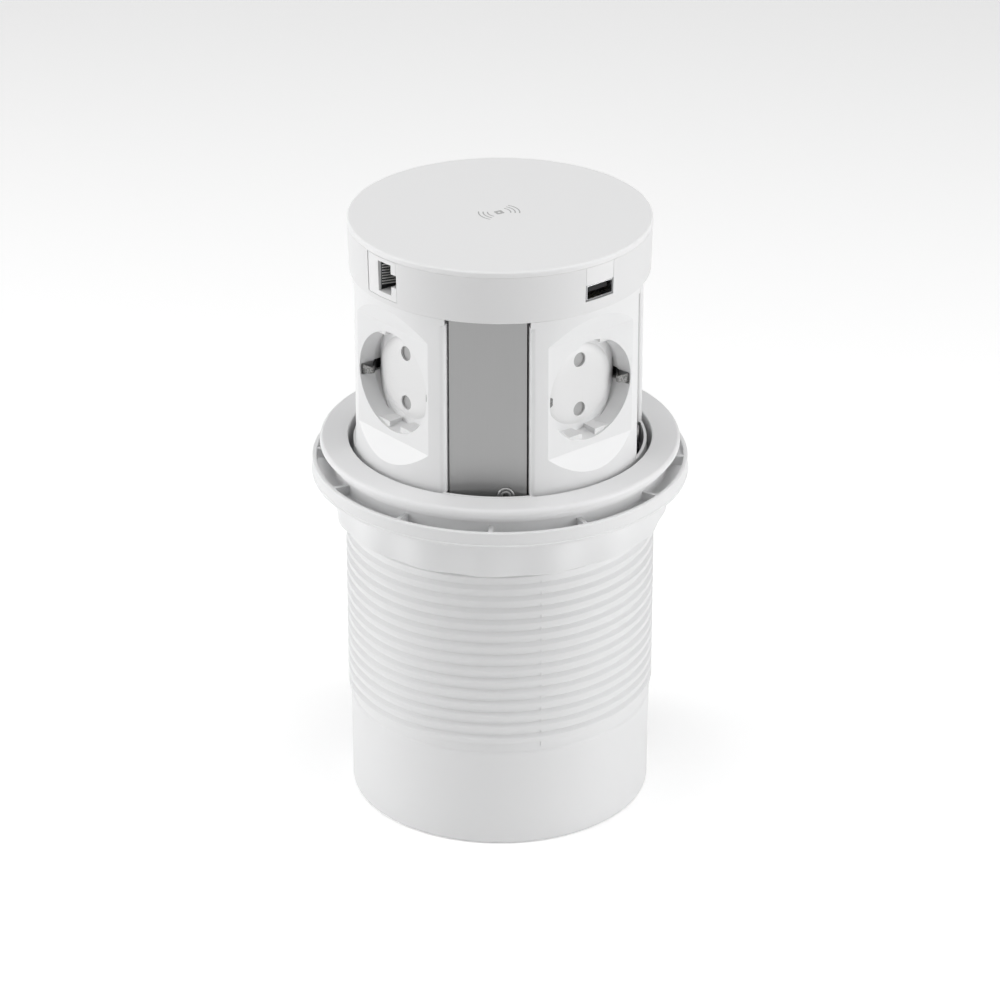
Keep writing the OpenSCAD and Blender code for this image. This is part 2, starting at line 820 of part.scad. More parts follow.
// Socket insert: cup of the recess with crowned pin plate, guides, and a housing behind it
module socket_insert(a) {
    floor_d = face_d - recess_depth;
    color("white")
    face_at(a)
    difference() {
        union() {
            socket_turned()
            polygon(concat(
                [[rotor_r, cup_d0], [insert_out_r, cup_d0], [insert_out_r, face_d - insert_z0],
                 [insert_r, face_d - insert_z0]],
                crown_arc(insert_r, 0, 0),
                crown_arc(0, rotor_r, crown_t)));
            difference() {
                radial_box(insert_back_d, cup_d0 + eps, insert_half_w * 2, insert_half_h * 2, 0, socket_z);
                radial_box(insert_back_d + insert_t, cup_d0 + 1, (insert_half_w - insert_t) * 2,
                           (insert_half_h - insert_t) * 2, 0, socket_z);
            }
            for (i = [0, 1]) insert_guide(i);
        }
        for (s = [-1, 1]) {
            radial_cylinder(pin_hole_r, cup_d0, face_d, 0, socket_z + s * pin_pitch / 2);
            radial_cylinder(wire_hole_r, insert_back_d - 1, insert_back_d + insert_t + 1, 0,
                            socket_z + s * pin_pitch / 2);
            radial_box(face_d - clip_slot_depth, face_d, 4, clip_slot_w, s * (insert_r + 1.4),
                       socket_z - clip_drop);
        }
    }
}
module socket_insert_1() { socket_insert(socket_a[0]); }
module socket_insert_2() { socket_insert(socket_a[1]); }
module socket_insert_3() { socket_insert(socket_a[2]); }
module socket_insert_4() { socket_insert(socket_a[3]); }

// Two-armed shutter that turns about the socket's axis under the crowned plate
module shutter(a) {
    color("gray")
    face_at(a)
    union() {
        intersection() {
            socket_turned()
            polygon(concat([[0, carrier_d1 + carrier_gap], [shutter_r, carrier_d1 + carrier_gap]],
                           crown_arc(shutter_r, 0, crown_t + shutter_gap)));
            radial_box(carrier_d1, face_d, shutter_w, shutter_r * 3, 0, socket_z);
        }
        radial_cylinder(shutter_hub_r, carrier_d1 - 2.5, carrier_d1 + carrier_gap + 0.5, 0, socket_z);
    }
}
module shutter_1() { shutter(socket_a[0]); }
module shutter_2() { shutter(socket_a[1]); }
module shutter_3() { shutter(socket_a[2]); }
module shutter_4() { shutter(socket_a[3]); }

// Return springs round the shutters' hubs
module shutter_springs() {
    color("silver")
    for (a = socket_a)
        face_at(a)
        difference() {
            radial_cylinder(spring_r, carrier_d1 - fit_gap - spring_h, carrier_d1 - fit_gap, 0, socket_z);
            radial_cylinder(spring_in_r, carrier_d1 - spring_h - 1, carrier_d1 + 1, 0, socket_z);
        }
}

// Side view of an earth clip: foot, leg behind the wall, and the bend that stands out of the slot
function clip_points() =
    let (y = clip_leg_y, peak_y = recess_r - clip_reach)
    [[cup_d0 - clip_t, insert_half_w + fit_gap], [cup_d0 - clip_t, y + clip_t],
     [clip_bend_d + 0.3, y + clip_t], [clip_peak_d - 0.3, peak_y + 1.4],
     [clip_tip_d - 0.7, recess_r + 0.5], [clip_tip_d, recess_r + 0.2], [clip_peak_d, peak_y],
     [clip_bend_d, y], [cup_d0, y], [cup_d0, insert_half_w + fit_gap]];

// Sprung earth clips, one at each side of every recess, narrower towards the bend
module earth_clips() {
    color("goldenrod")
    for (a = socket_a, s = [0, 1])
        face_at(a)
        mirror([0, s, 0])
        translate([0, 0, socket_z - clip_drop])
        intersection() {
            translate([0, 0, -clip_w / 2]) linear_extrude(height = clip_w) polygon(clip_points());
            translate([0, column_r, 0])
            rotate([90, 0, 0])
            linear_extrude(height = column_r)
            polygon([[cup_d0 - 2, -clip_w], [cup_d0 - 2, clip_w], [clip_bend_d, clip_w / 2],
                     [clip_peak_d, clip_tip_w / 2], [clip_tip_d, clip_w / 2], [face_d, clip_w],
                     [face_d, -clip_w], [clip_tip_d, -clip_w / 2], [clip_peak_d, -clip_tip_w / 2],
                     [clip_bend_d, -clip_w / 2]]);
        }
}

// Moulded carriers that hold the pin sleeves and the shutters' pivots
module contact_carriers() {
    color("gainsboro")
    for (a = socket_a)
        face_at(a)
        difference() {
            union() {
                radial_box(carrier_d0, cup_d0 - fit_gap, carrier_half_w * 2, carrier_half_h * 2, 0,
                           socket_z);
                radial_cylinder(carrier_half_w, cup_d0 - 1, cup_d0 + 1, 0, socket_z);
                radial_cylinder(rotor_r - 0.2, cup_d0 + fit_gap, carrier_d1, 0, socket_z);
            }
            radial_cylinder(shutter_hub_r + bush_gap, carrier_d1 - 3, carrier_d1 + 1, 0, socket_z);
            radial_cylinder(spring_r + 0.3, carrier_d1 - spring_h - 0.2, carrier_d1 + 1, 0, socket_z);
            for (s = [-1, 1]) {
                radial_cylinder(sleeve_out_r + fit_gap, carrier_d0 + 2, carrier_d1 - 2, 0,
                                socket_z + s * pin_pitch / 2);
                radial_cylinder(pin_hole_r, carrier_d0 + 2, carrier_d1 + 1, 0,
                                socket_z + s * pin_pitch / 2);
                radial_cylinder(wire_hole_r, carrier_d0 - 1, carrier_d0 + 3, 0,
                                socket_z + s * pin_pitch / 2);
            }
        }
}

// Sleeves that take the plug's pins, each with a tail that reaches its link ring
module contact_sleeves() {
    color("goldenrod")
    for (a = socket_a, s = [-1, 1])
        face_at(a)
        difference() {
            union() {
                radial_cylinder(sleeve_out_r, carrier_d0 + 2.1, carrier_d1 - 2.1, 0,
                                socket_z + s * pin_pitch / 2);
                radial_cylinder(tail_r, link_out_r + 0.3, carrier_d0 + 2.2, 0,
                                socket_z + s * pin_pitch / 2);
            }
            radial_cylinder(sleeve_in_r, carrier_d0 + 4, carrier_d1, 0, socket_z + s * pin_pitch / 2);
        }
}

// Ring of strip metal that joins like contacts of the four sockets
module link_ring(z) {
    ring(link_out_r, link_out_r - link_t, z - link_h / 2, z + link_h / 2);
}

module line_link() { color("peru") link_ring(socket_z + pin_pitch / 2); }
module neutral_link() { color("peru") link_ring(socket_z - pin_pitch / 2); }

// Earth ring with a bar along each side of every insert, up to the feet of the clips
module earth_link() {
    bar_y = insert_half_w + fit_gap + earth_bar_t / 2;
    foot_d = cup_d0 - clip_t;
    color("gold") {
        link_ring(socket_z);
        for (a = socket_a, s = [-1, 1])
            face_at(a)
            radial_box(bar_y - earth_bar_t / 2, foot_d, earth_bar_t, link_h, s * bar_y, socket_z);
    }
}

// Children at each of the posts under the charger board
module at_posts() {
    for (i = [0 : post_n - 1])
        rotate([0, 0, i * 360 / post_n + post_a]) translate([post_d, 0, 0]) children();
}

// Plate on top of the panels that carries the strut and the cap
module head_plate() {
    color("white")
    difference() {
        translate([0, 0, head_z]) cylinder(r = column_r, h = cap_z - head_z);
        for (a = strip_a)
            face_at(a)
            radial_box(strip_d - strip_web - fit_gap, far, 2 * column_r * sin(strip_half_a), 20, 0, cap_z);
        for (a = strip_a)
            rotate([0, 0, a]) translate([foot_hole_d, 0, head_z - 1]) cylinder(r = 4, h = 6);
        for (a = strip_a)
            rotate([0, 0, a]) translate([cap_screw_d, 0, head_z - 1])
            cylinder(r = cap_screw_r + 0.5, h = 6);
        at_posts() translate([0, 0, head_z - 1]) cylinder(r = post_pin_r + 0.3, h = 6);
    }
}

// Window in the cap wall at direction a between two heights
module cap_window(a, w, z, off = 0) {
    face_at(a)
    translate([cap_r - 8, off - w / 2, z[0]]) cube([14, w, z[1] - z[0]]);
}

// Drum of the cap with its floor and the two windows
module cap_rim() {
    color("white")
    difference() {
        union() {
            rotate_extrude()
            polygon([[cap_floor_in_r, cap_z], [cap_bottom_r - 0.4, cap_z], [cap_bottom_r, cap_z + 0.4],
                     [cap_r, lid_seat_z - 0.2], [cap_r - 0.2, lid_seat_z],
                     [cap_r - cap_wall, lid_seat_z], [cap_r - cap_wall, cap_z + cap_floor_t],
                     [cap_floor_in_r, cap_z + cap_floor_t]]);
        }
        cap_window(usb_a, usb_w + fit_gap * 2, [usb_z0 - fit_gap, cap_top_z + 1]);
        cap_window(jack_a, jack_w + fit_gap * 2, [jack_z[0] - fit_gap, jack_z[1] + fit_gap]);
        for (a = strip_a)
            rotate([0, 0, a]) translate([cap_screw_d, 0, cap_z - 1])
            cylinder(r = cap_screw_r + fit_gap / 2, h = 6);
    }
}

// Lid disc with softened edge and a locating ring beneath
module cap_lid() {
    lid_ring_r = cap_r - cap_wall - fit_gap;
    color("white")
    difference() {
        rotate_extrude()
        polygon([[0, lid_seat_z], [lid_ring_r - lid_ring_t, lid_seat_z],
                 [lid_ring_r - lid_ring_t, lid_seat_z - lid_ring_h], [lid_ring_r, lid_seat_z - lid_ring_h],
                 [lid_ring_r, lid_seat_z], [cap_r - 0.2, lid_seat_z],
                 [cap_r, lid_seat_z + 0.2], [cap_r, cap_top_z - lid_edge_r],
                 [cap_r - lid_edge_r * 0.3, cap_top_z - lid_edge_r * 0.3],
                 [cap_r - lid_edge_r, cap_top_z], [0, cap_top_z]]);
        for (a = [usb_a, jack_a])
            face_at(a)
            translate([cap_r - 8, -jack_w / 2 - 1.4, lid_seat_z - 3]) cube([7.4, jack_w + 2.8, 3]);
    }
}

// Flat charging coil under the lid
module charge_coil() {
    color("peru")
    ring(coil_r, coil_in_r, lid_seat_z - coil_h, lid_seat_z);
}

// Ferrite tile behind the coil
module coil_ferrite() {
    color("dimgray")
    translate([-ferrite_w / 2, -ferrite_w / 2, lid_seat_z - coil_h - ferrite_h])
    cube([ferrite_w, ferrite_w, ferrite_h]);
}

// Circuit board that carries the charger and the USB socket
module charger_board() {
    color("darkgreen")
    difference() {
        union() {
            intersection() {
                translate([0, 0, charger_board_z]) cylinder(r = board_r, h = board_t);
                translate([board_x, -board_w / 2, charger_board_z]) cube([board_l, board_w, board_t]);
            }
            translate([-12, 6, charger_board_z + board_t - eps]) cube([9, 9, 1.2]);
            translate([6, -16, charger_board_z + board_t - eps]) cube([6, 6, 1.4]);
            translate([-18, -12, charger_board_z - 5 + eps]) cylinder(r = 4, h = 5);
            translate([-18, 2, charger_board_z - 5 + eps]) cylinder(r = 4, h = 5);
        }
        at_posts() translate([0, 0, charger_board_z - 1]) cylinder(r = post_pin_r + fit_gap, h = 5);
    }
}

// Posts between head plate and charger board
module board_posts() {
    color("goldenrod")
    at_posts() {
        translate([0, 0, cap_z]) cylinder(r = post_r, h = charger_board_z - cap_z);
        translate([0, 0, head_z]) cylinder(r = post_pin_r + 0.2, h = cap_z - head_z + eps);
        translate([0, 0, charger_board_z - eps]) cylinder(r = post_pin_r, h = board_t);
    }
}

// White plate above the USB socket, flush with the cap wall
module usb_face() {
    color("white")
    intersection() {
        rotate_extrude()
        polygon([[cap_r - port_face_t, cap_z], [cap_bottom_r, cap_z], [cap_r, lid_seat_z - 0.2],
                 [cap_r, lid_seat_z - 0.1], [cap_r - port_face_t, lid_seat_z - 0.1]]);
        cap_window(usb_a, usb_w, [usb_slot_z[1] + fit_gap, lid_seat_z - 0.1]);
    }
}

// Metal shell of the USB socket, open to the front
module usb_shell() {
    w = usb_slot_w + shell_t;
    h = usb_slot_z[1] - usb_slot_z[0];
    mid = (usb_slot_z[0] + usb_slot_z[1]) / 2;
    color("silver")
    face_at(usb_a)
    difference() {
        radial_box(cap_r - port_depth, cap_r - 0.9, w, h, 0, mid);
        radial_box(cap_r - port_depth + 0.5, cap_r + 1, w - 2 * shell_t, h - 2 * shell_t, 0, mid);
    }
}

// Tongue of the USB socket with its contact strips
module usb_tongue() {
    mid = (usb_slot_z[0] + usb_slot_z[1]) / 2;
    color("dimgray")
    face_at(usb_a) {
        radial_box(cap_r - port_depth + 0.5 + fit_gap, cap_r - port_depth + 2.2, usb_slot_w - 0.8, 4.4, 0,
                   mid);
        radial_box(cap_r - port_depth + 2, cap_r - 2.4, usb_slot_w - 1.8, 1.9, 0, mid + 0.9);
    }
}

// Body of the network jack, turned so that the latch key of the plug lies to the right
module jack_body() {
    color("white")
    difference() {
        union() {
            intersection() {
                rotate_extrude()
                polygon([[cap_r - port_face_t, cap_z], [cap_bottom_r, cap_z], [cap_r, lid_seat_z - 0.2],
                         [cap_r - port_face_t, lid_seat_z - 0.2]]);
                cap_window(jack_a, jack_w, jack_z);
            }
            face_at(jack_a)
            radial_box(cap_r - port_depth - 3, cap_r - 4, jack_w - 1, jack_z[1] - jack_z[0] - 1, 0,
                       (jack_z[0] + jack_z[1]) / 2);
        }
        face_at(jack_a) {
            radial_box(cap_r - port_depth, cap_r + 1, jack_slot_w, jack_slot_h, jack_slot_off, jack_mid_z);
            translate([cap_r - port_depth + 4, jack_slot_off + jack_slot_w / 2 - eps,
                       jack_mid_z - jack_key_h / 2])
            cube([port_depth, jack_key_w, jack_key_h]);
        }
    }
}

// Eight sprung contact wires in the jack
module jack_contacts() {
    color("gold")
    for (i = [0 : contact_n - 1])
        face_at(jack_a)
        translate([0, 0, jack_mid_z + (i - (contact_n - 1) / 2) * contact_pitch - contact_w / 2])
        linear_extrude(height = contact_w)
        polygon([[cap_r - port_depth, jack_slot_off - jack_slot_w / 2 + 0.1],
                 [cap_r - 3.6, jack_slot_off - jack_slot_w / 2 + 0.1],
                 [cap_r - port_depth + 2, jack_slot_off + 0.4],
                 [cap_r - port_depth + 1.4, jack_slot_off + 0.1]]);
}

// Screws that hold the cap to the head plate, driven from below
module cap_screws() {
    color("silver")
    for (a = strip_a)
        rotate([0, 0, a])
        translate([cap_screw_d, 0, head_z]) rotate([180, 0, 0]) screw(2.8, 1.6, cap_screw_r, 4.4);
}

housing_sleeve();
trim_collar();
guide_ring();
ring_nut();
bottom_cover();
cover_screws();
cable_grommet();
terminal_block();
strut_foot();
strut_rod();
guide_rod();
latch_body();
latch_hook();
latch_spring();
column_foot();
strut_tube();
strut_gland();
socket_panel_1();
socket_panel_2();
socket_panel_3();
socket_panel_4();
corner_strip_1();
corner_strip_2();
corner_strip_3();
corner_strip_4();
strip_screws();
socket_insert_1();
socket_insert_2();
socket_insert_3();
socket_insert_4();
shutter_1();
shutter_2();
shutter_3();
shutter_4();
shutter_springs();
earth_clips();
contact_carriers();
contact_sleeves();
line_link();
neutral_link();
earth_link();
head_plate();
cap_rim();
cap_lid();
charge_coil();
coil_ferrite();
charger_board();
board_posts();
usb_face();
usb_shell();
usb_tongue();
jack_body();
jack_contacts();
cap_screws();
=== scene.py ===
"""Looks of a pop-up desk socket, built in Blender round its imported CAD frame.

Sizes are in millimetres. A Solid is shaped in millimetres by mesh operators and is scaled
to metres when it becomes a piece of the scene, with its place in its mesh.
"""
import json
import logging
import math
from dataclasses import dataclass
from enum import Enum
from typing import Mapping, Optional, Sequence, Union

import bmesh
import bpy
from mathutils import Matrix, Vector


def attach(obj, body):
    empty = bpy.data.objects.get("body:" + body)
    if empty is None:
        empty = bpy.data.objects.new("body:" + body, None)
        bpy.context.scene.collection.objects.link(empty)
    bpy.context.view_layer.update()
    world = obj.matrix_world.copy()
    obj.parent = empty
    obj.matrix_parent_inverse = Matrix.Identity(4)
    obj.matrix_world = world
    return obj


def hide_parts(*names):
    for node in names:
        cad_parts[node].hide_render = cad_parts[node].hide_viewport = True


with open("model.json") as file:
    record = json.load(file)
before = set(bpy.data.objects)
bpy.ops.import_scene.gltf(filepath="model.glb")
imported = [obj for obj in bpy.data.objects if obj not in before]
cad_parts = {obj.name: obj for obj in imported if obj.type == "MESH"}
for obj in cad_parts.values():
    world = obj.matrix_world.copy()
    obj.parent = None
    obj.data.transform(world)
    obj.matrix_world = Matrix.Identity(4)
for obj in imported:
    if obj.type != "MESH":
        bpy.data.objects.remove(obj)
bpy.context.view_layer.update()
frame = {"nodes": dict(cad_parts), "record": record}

LOG = logging.getLogger("desk_socket")
MM = 0.001
Point2 = tuple[float, float]
Colour = tuple[float, float, float]
SOCKET_BEARINGS = (0.0, 90.0, 180.0, 270.0)
STRIP_BEARINGS = (45.0, 135.0, 225.0, 315.0)
USB_BEARING = 0.0
JACK_BEARING = 270.0
ROUND_STEPS = 240
BORE_STEPS = 160
TINY = 1e-3
# Scale at which the wave texture makes one wave a metre
WAVE = 0.314


class Body(Enum):
    """Bodies of the frame that new pieces ride on."""

    HOUSING = "housing"
    NUT = "ring_nut"
    COLUMN = "column"
    SHUTTER_1 = "shutter_1"
    SHUTTER_2 = "shutter_2"
    SHUTTER_3 = "shutter_3"
    SHUTTER_4 = "shutter_4"


class Slot(Enum):
    """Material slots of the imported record."""

    SLEEVE = "sleeve_white"
    COLLAR = "collar_white"
    PANEL = "panel_white"
    INSERT = "insert_white"
    CAP = "cap_white"
    ALUMINIUM = "satin_aluminium"
    STEEL = "steel"
    SHUTTER = "shutter_grey"
    BLACK = "black_plastic"
    STRUT = "strut_paint"
    RUBBER = "rubber"
    BRASS = "brass"
    COPPER = "copper"
    BOARD = "board_green"
    TERMINAL = "terminal_ivory"


class Cut(Enum):
    """Boolean operations between solids."""

    AWAY = "DIFFERENCE"
    TOGETHER = "UNION"
    COMMON = "INTERSECT"


# Shader expressions


class Signal:
    """A shader value that Python's operators extend with Math nodes."""

    def __init__(self, graph: "Graph", socket: bpy.types.NodeSocket) -> None:
        """Wraps an output socket of a graph."""
        self.graph = graph
        self.socket = socket

    def _math(self, operation: str, first: "Value", second: "Value") -> "Signal":
        """Adds one Math node on two values and gives its result."""
        return self.graph.node("ShaderNodeMath", {"operation": operation}, {0: first, 1: second})

    def __add__(self, other: "Value") -> "Signal":
        """Sum."""
        return self._math("ADD", self, other)

    def __radd__(self, other: "Value") -> "Signal":
        """Sum with a number on the left."""
        return self._math("ADD", other, self)

    def __sub__(self, other: "Value") -> "Signal":
        """Difference."""
        return self._math("SUBTRACT", self, other)

    def __rsub__(self, other: "Value") -> "Signal":
        """Difference from a number on the left."""
        return self._math("SUBTRACT", other, self)

    def __mul__(self, other: "Value") -> "Signal":
        """Product."""
        return self._math("MULTIPLY", self, other)

    def __rmul__(self, other: "Value") -> "Signal":
        """Product with a number on the left."""
        return self._math("MULTIPLY", other, self)

    def __abs__(self) -> "Signal":
        """Size without its sign."""
        return self._math("ABSOLUTE", self, 0.0)

    def most(self, other: "Value") -> "Signal":
        """Larger of two values."""
        return self._math("MAXIMUM", self, other)

    def between(self, low: float, high: float) -> "Signal":
        """Share of the way from low to high, held to 0 to 1 and eased at both ends."""
        inputs = {"Value": self, "From Min": low, "From Max": high}
        return self.graph.node("ShaderNodeMapRange", {"interpolation_type": "SMOOTHSTEP"}, inputs)


Value = Union[Signal, float]
Tint = Union[Signal, Colour]


class Graph:
    """A node tree that expressions fill."""

    def __init__(self, tree: bpy.types.NodeTree) -> None:
        """Takes a node tree over and empties it."""
        self.tree = tree
        tree.nodes.clear()

    def node(
        self,
        kind: str,
        settings: Optional[Mapping[str, object]] = None,
        inputs: Optional[Mapping[Union[int, str], object]] = None,
        output: Union[int, str] = 0,
    ) -> Signal:
        """Adds a node.

        Args:
            kind: The node's type.
            settings: Properties that are set before its sockets.
            inputs: Values or links of its input sockets.
            output: The output socket that is wanted.

        Returns:
            That output.
        """
        made = self.tree.nodes.new(kind)
        for key, value in (settings or {}).items():
            setattr(made, key, value)
        for key, value in (inputs or {}).items():
            if isinstance(value, Signal):
                self.tree.links.new(value.socket, made.inputs[key])
            else:
                made.inputs[key].default_value = value
        return Signal(self, made.outputs[output] if made.outputs else None)

    def seen(self) -> Signal:
        """Tells rays that show the scene itself: the camera's, in gloss or through glass.

        Returns:
            1 for such a ray, 0 for any other.
        """
        kinds = ("Camera", "Glossy", "Transmission")
        rays = [self.node("ShaderNodeLightPath", output=f"Is {kind} Ray") for kind in kinds]
        return rays[0].most(rays[1]).most(rays[2])


class Surface(Graph):
    """The graph of one material, with its Principled shader."""

    def __init__(self, name: str) -> None:
        """Starts an empty material.

        Args:
            name: The material's name.
        """
        self.material = bpy.data.materials.new(name)
        self.material.use_nodes = True
        super().__init__(self.material.node_tree)
        self.shader = self.tree.nodes.new("ShaderNodeBsdfPrincipled")
        out = self.tree.nodes.new("ShaderNodeOutputMaterial")
        self.tree.links.new(self.shader.outputs[0], out.inputs["Surface"])
        self.place = self.node("ShaderNodeTexCoord", output="Object")

    def noise(
        self, scale: float, detail: float = 2.0, stretch: Sequence[float] = (1, 1, 1)
    ) -> Signal:
        """Adds noise on the piece's own coordinates.

        Args:
            scale: Features per metre.
            detail: Octaves.
            stretch: Scale along each axis.

        Returns:
            The noise, about 0 to 1.
        """
        place = self.node("ShaderNodeMapping", None, {"Vector": self.place, "Scale": stretch})
        inputs = {"Vector": place, "Scale": scale, "Detail": detail}
        return self.node("ShaderNodeTexNoise", None, inputs)

    def blend(self, mask: Value, low: Tint, high: Tint) -> Signal:
        """Mixes two colours, the mask being the share of the second."""
        first, second = (c if isinstance(c, Signal) else (*c, 1.0) for c in (low, high))
        return self.node("ShaderNodeMix", {"data_type": "RGBA"}, {0: mask, 6: first, 7: second}, 2)

    def relief(self, height: Signal, depth: float, strength: float) -> Signal:
        """Adds a Bump node over a height pattern, its depth in metres."""
        inputs = {"Strength": strength, "Distance": depth, "Height": height}
        return self.node("ShaderNodeBump", None, inputs)

    def wear(self, **sockets: object) -> None:
        """Sets the shader's sockets.

        Args:
            **sockets: Values or links, with the sockets' names in lower case.
        """
        for key, value in sockets.items():
            socket = self.shader.inputs[key.replace("_", " ").title().replace("Ior", "IOR")]
            if isinstance(value, Signal):
                self.tree.links.new(value.socket, socket)
            else:
                socket.default_value = value


@dataclass(frozen=True)
class Moulded:
    """Injection moulded plastic with fine spark-eroded grain and faint flow clouds."""

    name: str
    colour: Colour
    roughness: float = 0.42
    grain_mm: float = 0.35
    grain_depth: float = 0.012
    clouds: float = 0.02
    specular: float = 0.5

    def material(self) -> bpy.types.Material:
        """Builds the material.

        Returns:
            The material.
        """
        graph = Surface(self.name)
        cloud = graph.noise(28.0, 3.0)
        grain = graph.noise(1.0 / (self.grain_mm * MM), 2.0)
        shade = tuple(channel * (1.0 - self.clouds) for channel in self.colour)
        graph.wear(
            base_color=graph.blend(cloud, shade, self.colour),
            roughness=self.roughness + (grain - 0.5) * 0.10 + (cloud - 0.5) * 0.06,
            normal=graph.relief(grain, self.grain_depth * MM, 0.35),
            specular_ior_level=self.specular,
        )
        return graph.material


@dataclass(frozen=True)
class Extruded:
    """Satin anodised aluminium with fine draw lines along Z."""

    name: str
    colour: Colour
    roughness: float = 0.36

    def material(self) -> bpy.types.Material:
        """Builds the material.

        Returns:
            The material.
        """
        graph = Surface(self.name)
        lines = graph.noise(3200.0, 2.0, (1, 1, 0.012))
        speckle = graph.noise(2600.0, 1.0)
        shade = tuple(channel * 0.93 for channel in self.colour)
        graph.wear(
            base_color=graph.blend(lines * 0.7 + speckle * 0.3, shade, self.colour),
            metallic=1.0,
            roughness=self.roughness + (lines - 0.5) * 0.12,
            normal=graph.relief(lines * 0.8 + speckle * 0.4, 0.006 * MM, 0.4),
        )
        return graph.material


@dataclass(frozen=True)
class Metal:
    """Plated, drawn or stamped metal with light scratches and stains."""

    name: str
    colour: Colour
    roughness: float = 0.28
    scratch_mm: float = 0.25

    def material(self) -> bpy.types.Material:
        """Builds the material.

        Returns:
            The material.
        """
        graph = Surface(self.name)
        scratch = graph.noise(1.0 / (self.scratch_mm * MM), 2.0, (1, 0.12, 1))
        stain = graph.noise(220.0, 3.0)
        shade = tuple(channel * 0.82 for channel in self.colour)
        graph.wear(
            base_color=graph.blend(stain, shade, self.colour),
            metallic=1.0,
            roughness=self.roughness + (scratch - 0.5) * 0.16 + (stain - 0.5) * 0.08,
            normal=graph.relief(scratch, 0.008 * MM, 0.35),
        )
        return graph.material


@dataclass(frozen=True)
class Sprung:
    """Dull plated spring metal, specked by handling, with painted shade that turns it black deep in
    its slot.
    """

    name: str
    colour: Colour
    painted_shade_below: float
    shade_fade: float = 1.5
    roughness: float = 0.42

    def material(self) -> bpy.types.Material:
        """Builds the material.

        Returns:
            The material.
        """
        graph = Surface(self.name)
        split = ("ShaderNodeSeparateXYZ", None, {0: graph.place})
        along = abs(graph.node(*split, 0)).most(abs(graph.node(*split, 1)))
        # Painted shade: the colour turns black where the clip lies deep in its slot, nearer the
        # axis than the given limit.
        unshaded = along.between((self.painted_shade_below - self.shade_fade) * MM, self.painted_shade_below * MM)
        speck = graph.noise(1700.0, 3.0)
        shade = tuple(channel * 0.45 for channel in self.colour)
        plating = graph.blend(speck.between(0.40, 0.62), shade, self.colour)
        graph.wear(
            base_color=graph.blend(unshaded, (0.02, 0.02, 0.02), plating),
            metallic=unshaded * 0.9,
            roughness=self.roughness + (speck - 0.5) * 0.3,
            normal=graph.relief(speck, 0.02 * MM, 0.5),
        )
        return graph.material


@dataclass(frozen=True)
class Winding:
    """Enamelled copper wire wound in flat turns about Z, with painted shade in the grooves between
    turns.
    """

    name: str
    colour: Colour
    wire_mm: float = 0.5

    def material(self) -> bpy.types.Material:
        """Builds the material.

        Returns:
            The material.
        """
        graph = Surface(self.name)
        turns = graph.node(
            "ShaderNodeTexWave",
            {"wave_type": "RINGS", "rings_direction": "Z", "wave_profile": "SIN"},
            {"Vector": graph.place, "Scale": WAVE / (self.wire_mm * MM), "Distortion": 0.0},
            "Fac",
        )
        # Painted shade: the colour darkens in the grooves between turns.
        shade = tuple(channel * 0.35 for channel in self.colour)
        graph.wear(
            base_color=graph.blend(turns, shade, self.colour),
            metallic=0.9,
            roughness=0.3 + graph.noise(900.0) * 0.15,
            normal=graph.relief(turns, 0.15 * MM, 0.8),
        )
        return graph.material


Finish = Union[Moulded, Extruded, Metal, Sprung, Winding]
FINISHES: dict[Slot, Finish] = {
    Slot.SLEEVE: Moulded("sleeve_plastic", (0.80, 0.802, 0.805), 0.46, 0.5, 0.016, 0.03),
    Slot.COLLAR: Moulded("collar_plastic", (0.82, 0.82, 0.825), 0.50, 0.4, 0.016, 0.02),
    Slot.PANEL: Moulded("panel_plastic", (0.82, 0.822, 0.825), 0.34, 0.3, 0.008, 0.015),
    Slot.INSERT: Moulded("insert_plastic", (0.80, 0.80, 0.80), 0.30, 0.3, 0.006, 0.015),
    Slot.CAP: Moulded("cap_plastic", (0.82, 0.82, 0.822), 0.48, 0.25, 0.012, 0.01),
    Slot.ALUMINIUM: Extruded("anodised_strip", (0.36, 0.36, 0.36)),
    Slot.STEEL: Metal("plated_steel", (0.60, 0.61, 0.62), 0.26),
    Slot.SHUTTER: Moulded("shutter_plastic", (0.42, 0.42, 0.42), 0.5, 0.4, 0.012, 0.08),
    Slot.BLACK: Moulded("black_plastic", (0.012, 0.012, 0.013), 0.6, 0.4, 0.012, 0.2, 0.25),
    Slot.STRUT: Moulded("strut_paint", (0.035, 0.035, 0.038), 0.3, 1.2, 0.02, 0.2),
    Slot.RUBBER: Moulded("rubber", (0.05, 0.05, 0.05), 0.75, 0.6, 0.03, 0.2),
    Slot.BRASS: Metal("brass", (0.75, 0.60, 0.33), 0.30),
    Slot.COPPER: Winding("copper_winding", (0.72, 0.40, 0.25)),
    Slot.BOARD: Moulded("solder_mask", (0.02, 0.12, 0.05), 0.3, 0.8, 0.02, 0.25),
    Slot.TERMINAL: Moulded("terminal_plastic", (0.72, 0.70, 0.60), 0.4, 0.5, 0.014, 0.04),
}


class Palette:
    """Materials by slot, each built once."""

    def __init__(self) -> None:
        """Starts with no material built."""
        self._built: dict[object, bpy.types.Material] = {}

    def of(self, finish: Union[Slot, Finish]) -> bpy.types.Material:
        """Gives the material of a slot or of a finish.

        Args:
            finish: The slot or finish.

        Returns:
            Its material.
        """
        if finish not in self._built:
            chosen = FINISHES[finish] if isinstance(finish, Slot) else finish
            self._built[finish] = chosen.material()
        return self._built[finish]


PALETTE = Palette()


# Mesh building


def linked(name: str, data: bpy.types.ID) -> bpy.types.Object:
    """Makes an object and links it to the scene.

    Args:
        name: The object's name.
        data: Its mesh, lamp or camera.

    Returns:
        The object.
    """
    made = bpy.data.objects.new(name, data)
    bpy.context.scene.collection.objects.link(made)
    return made


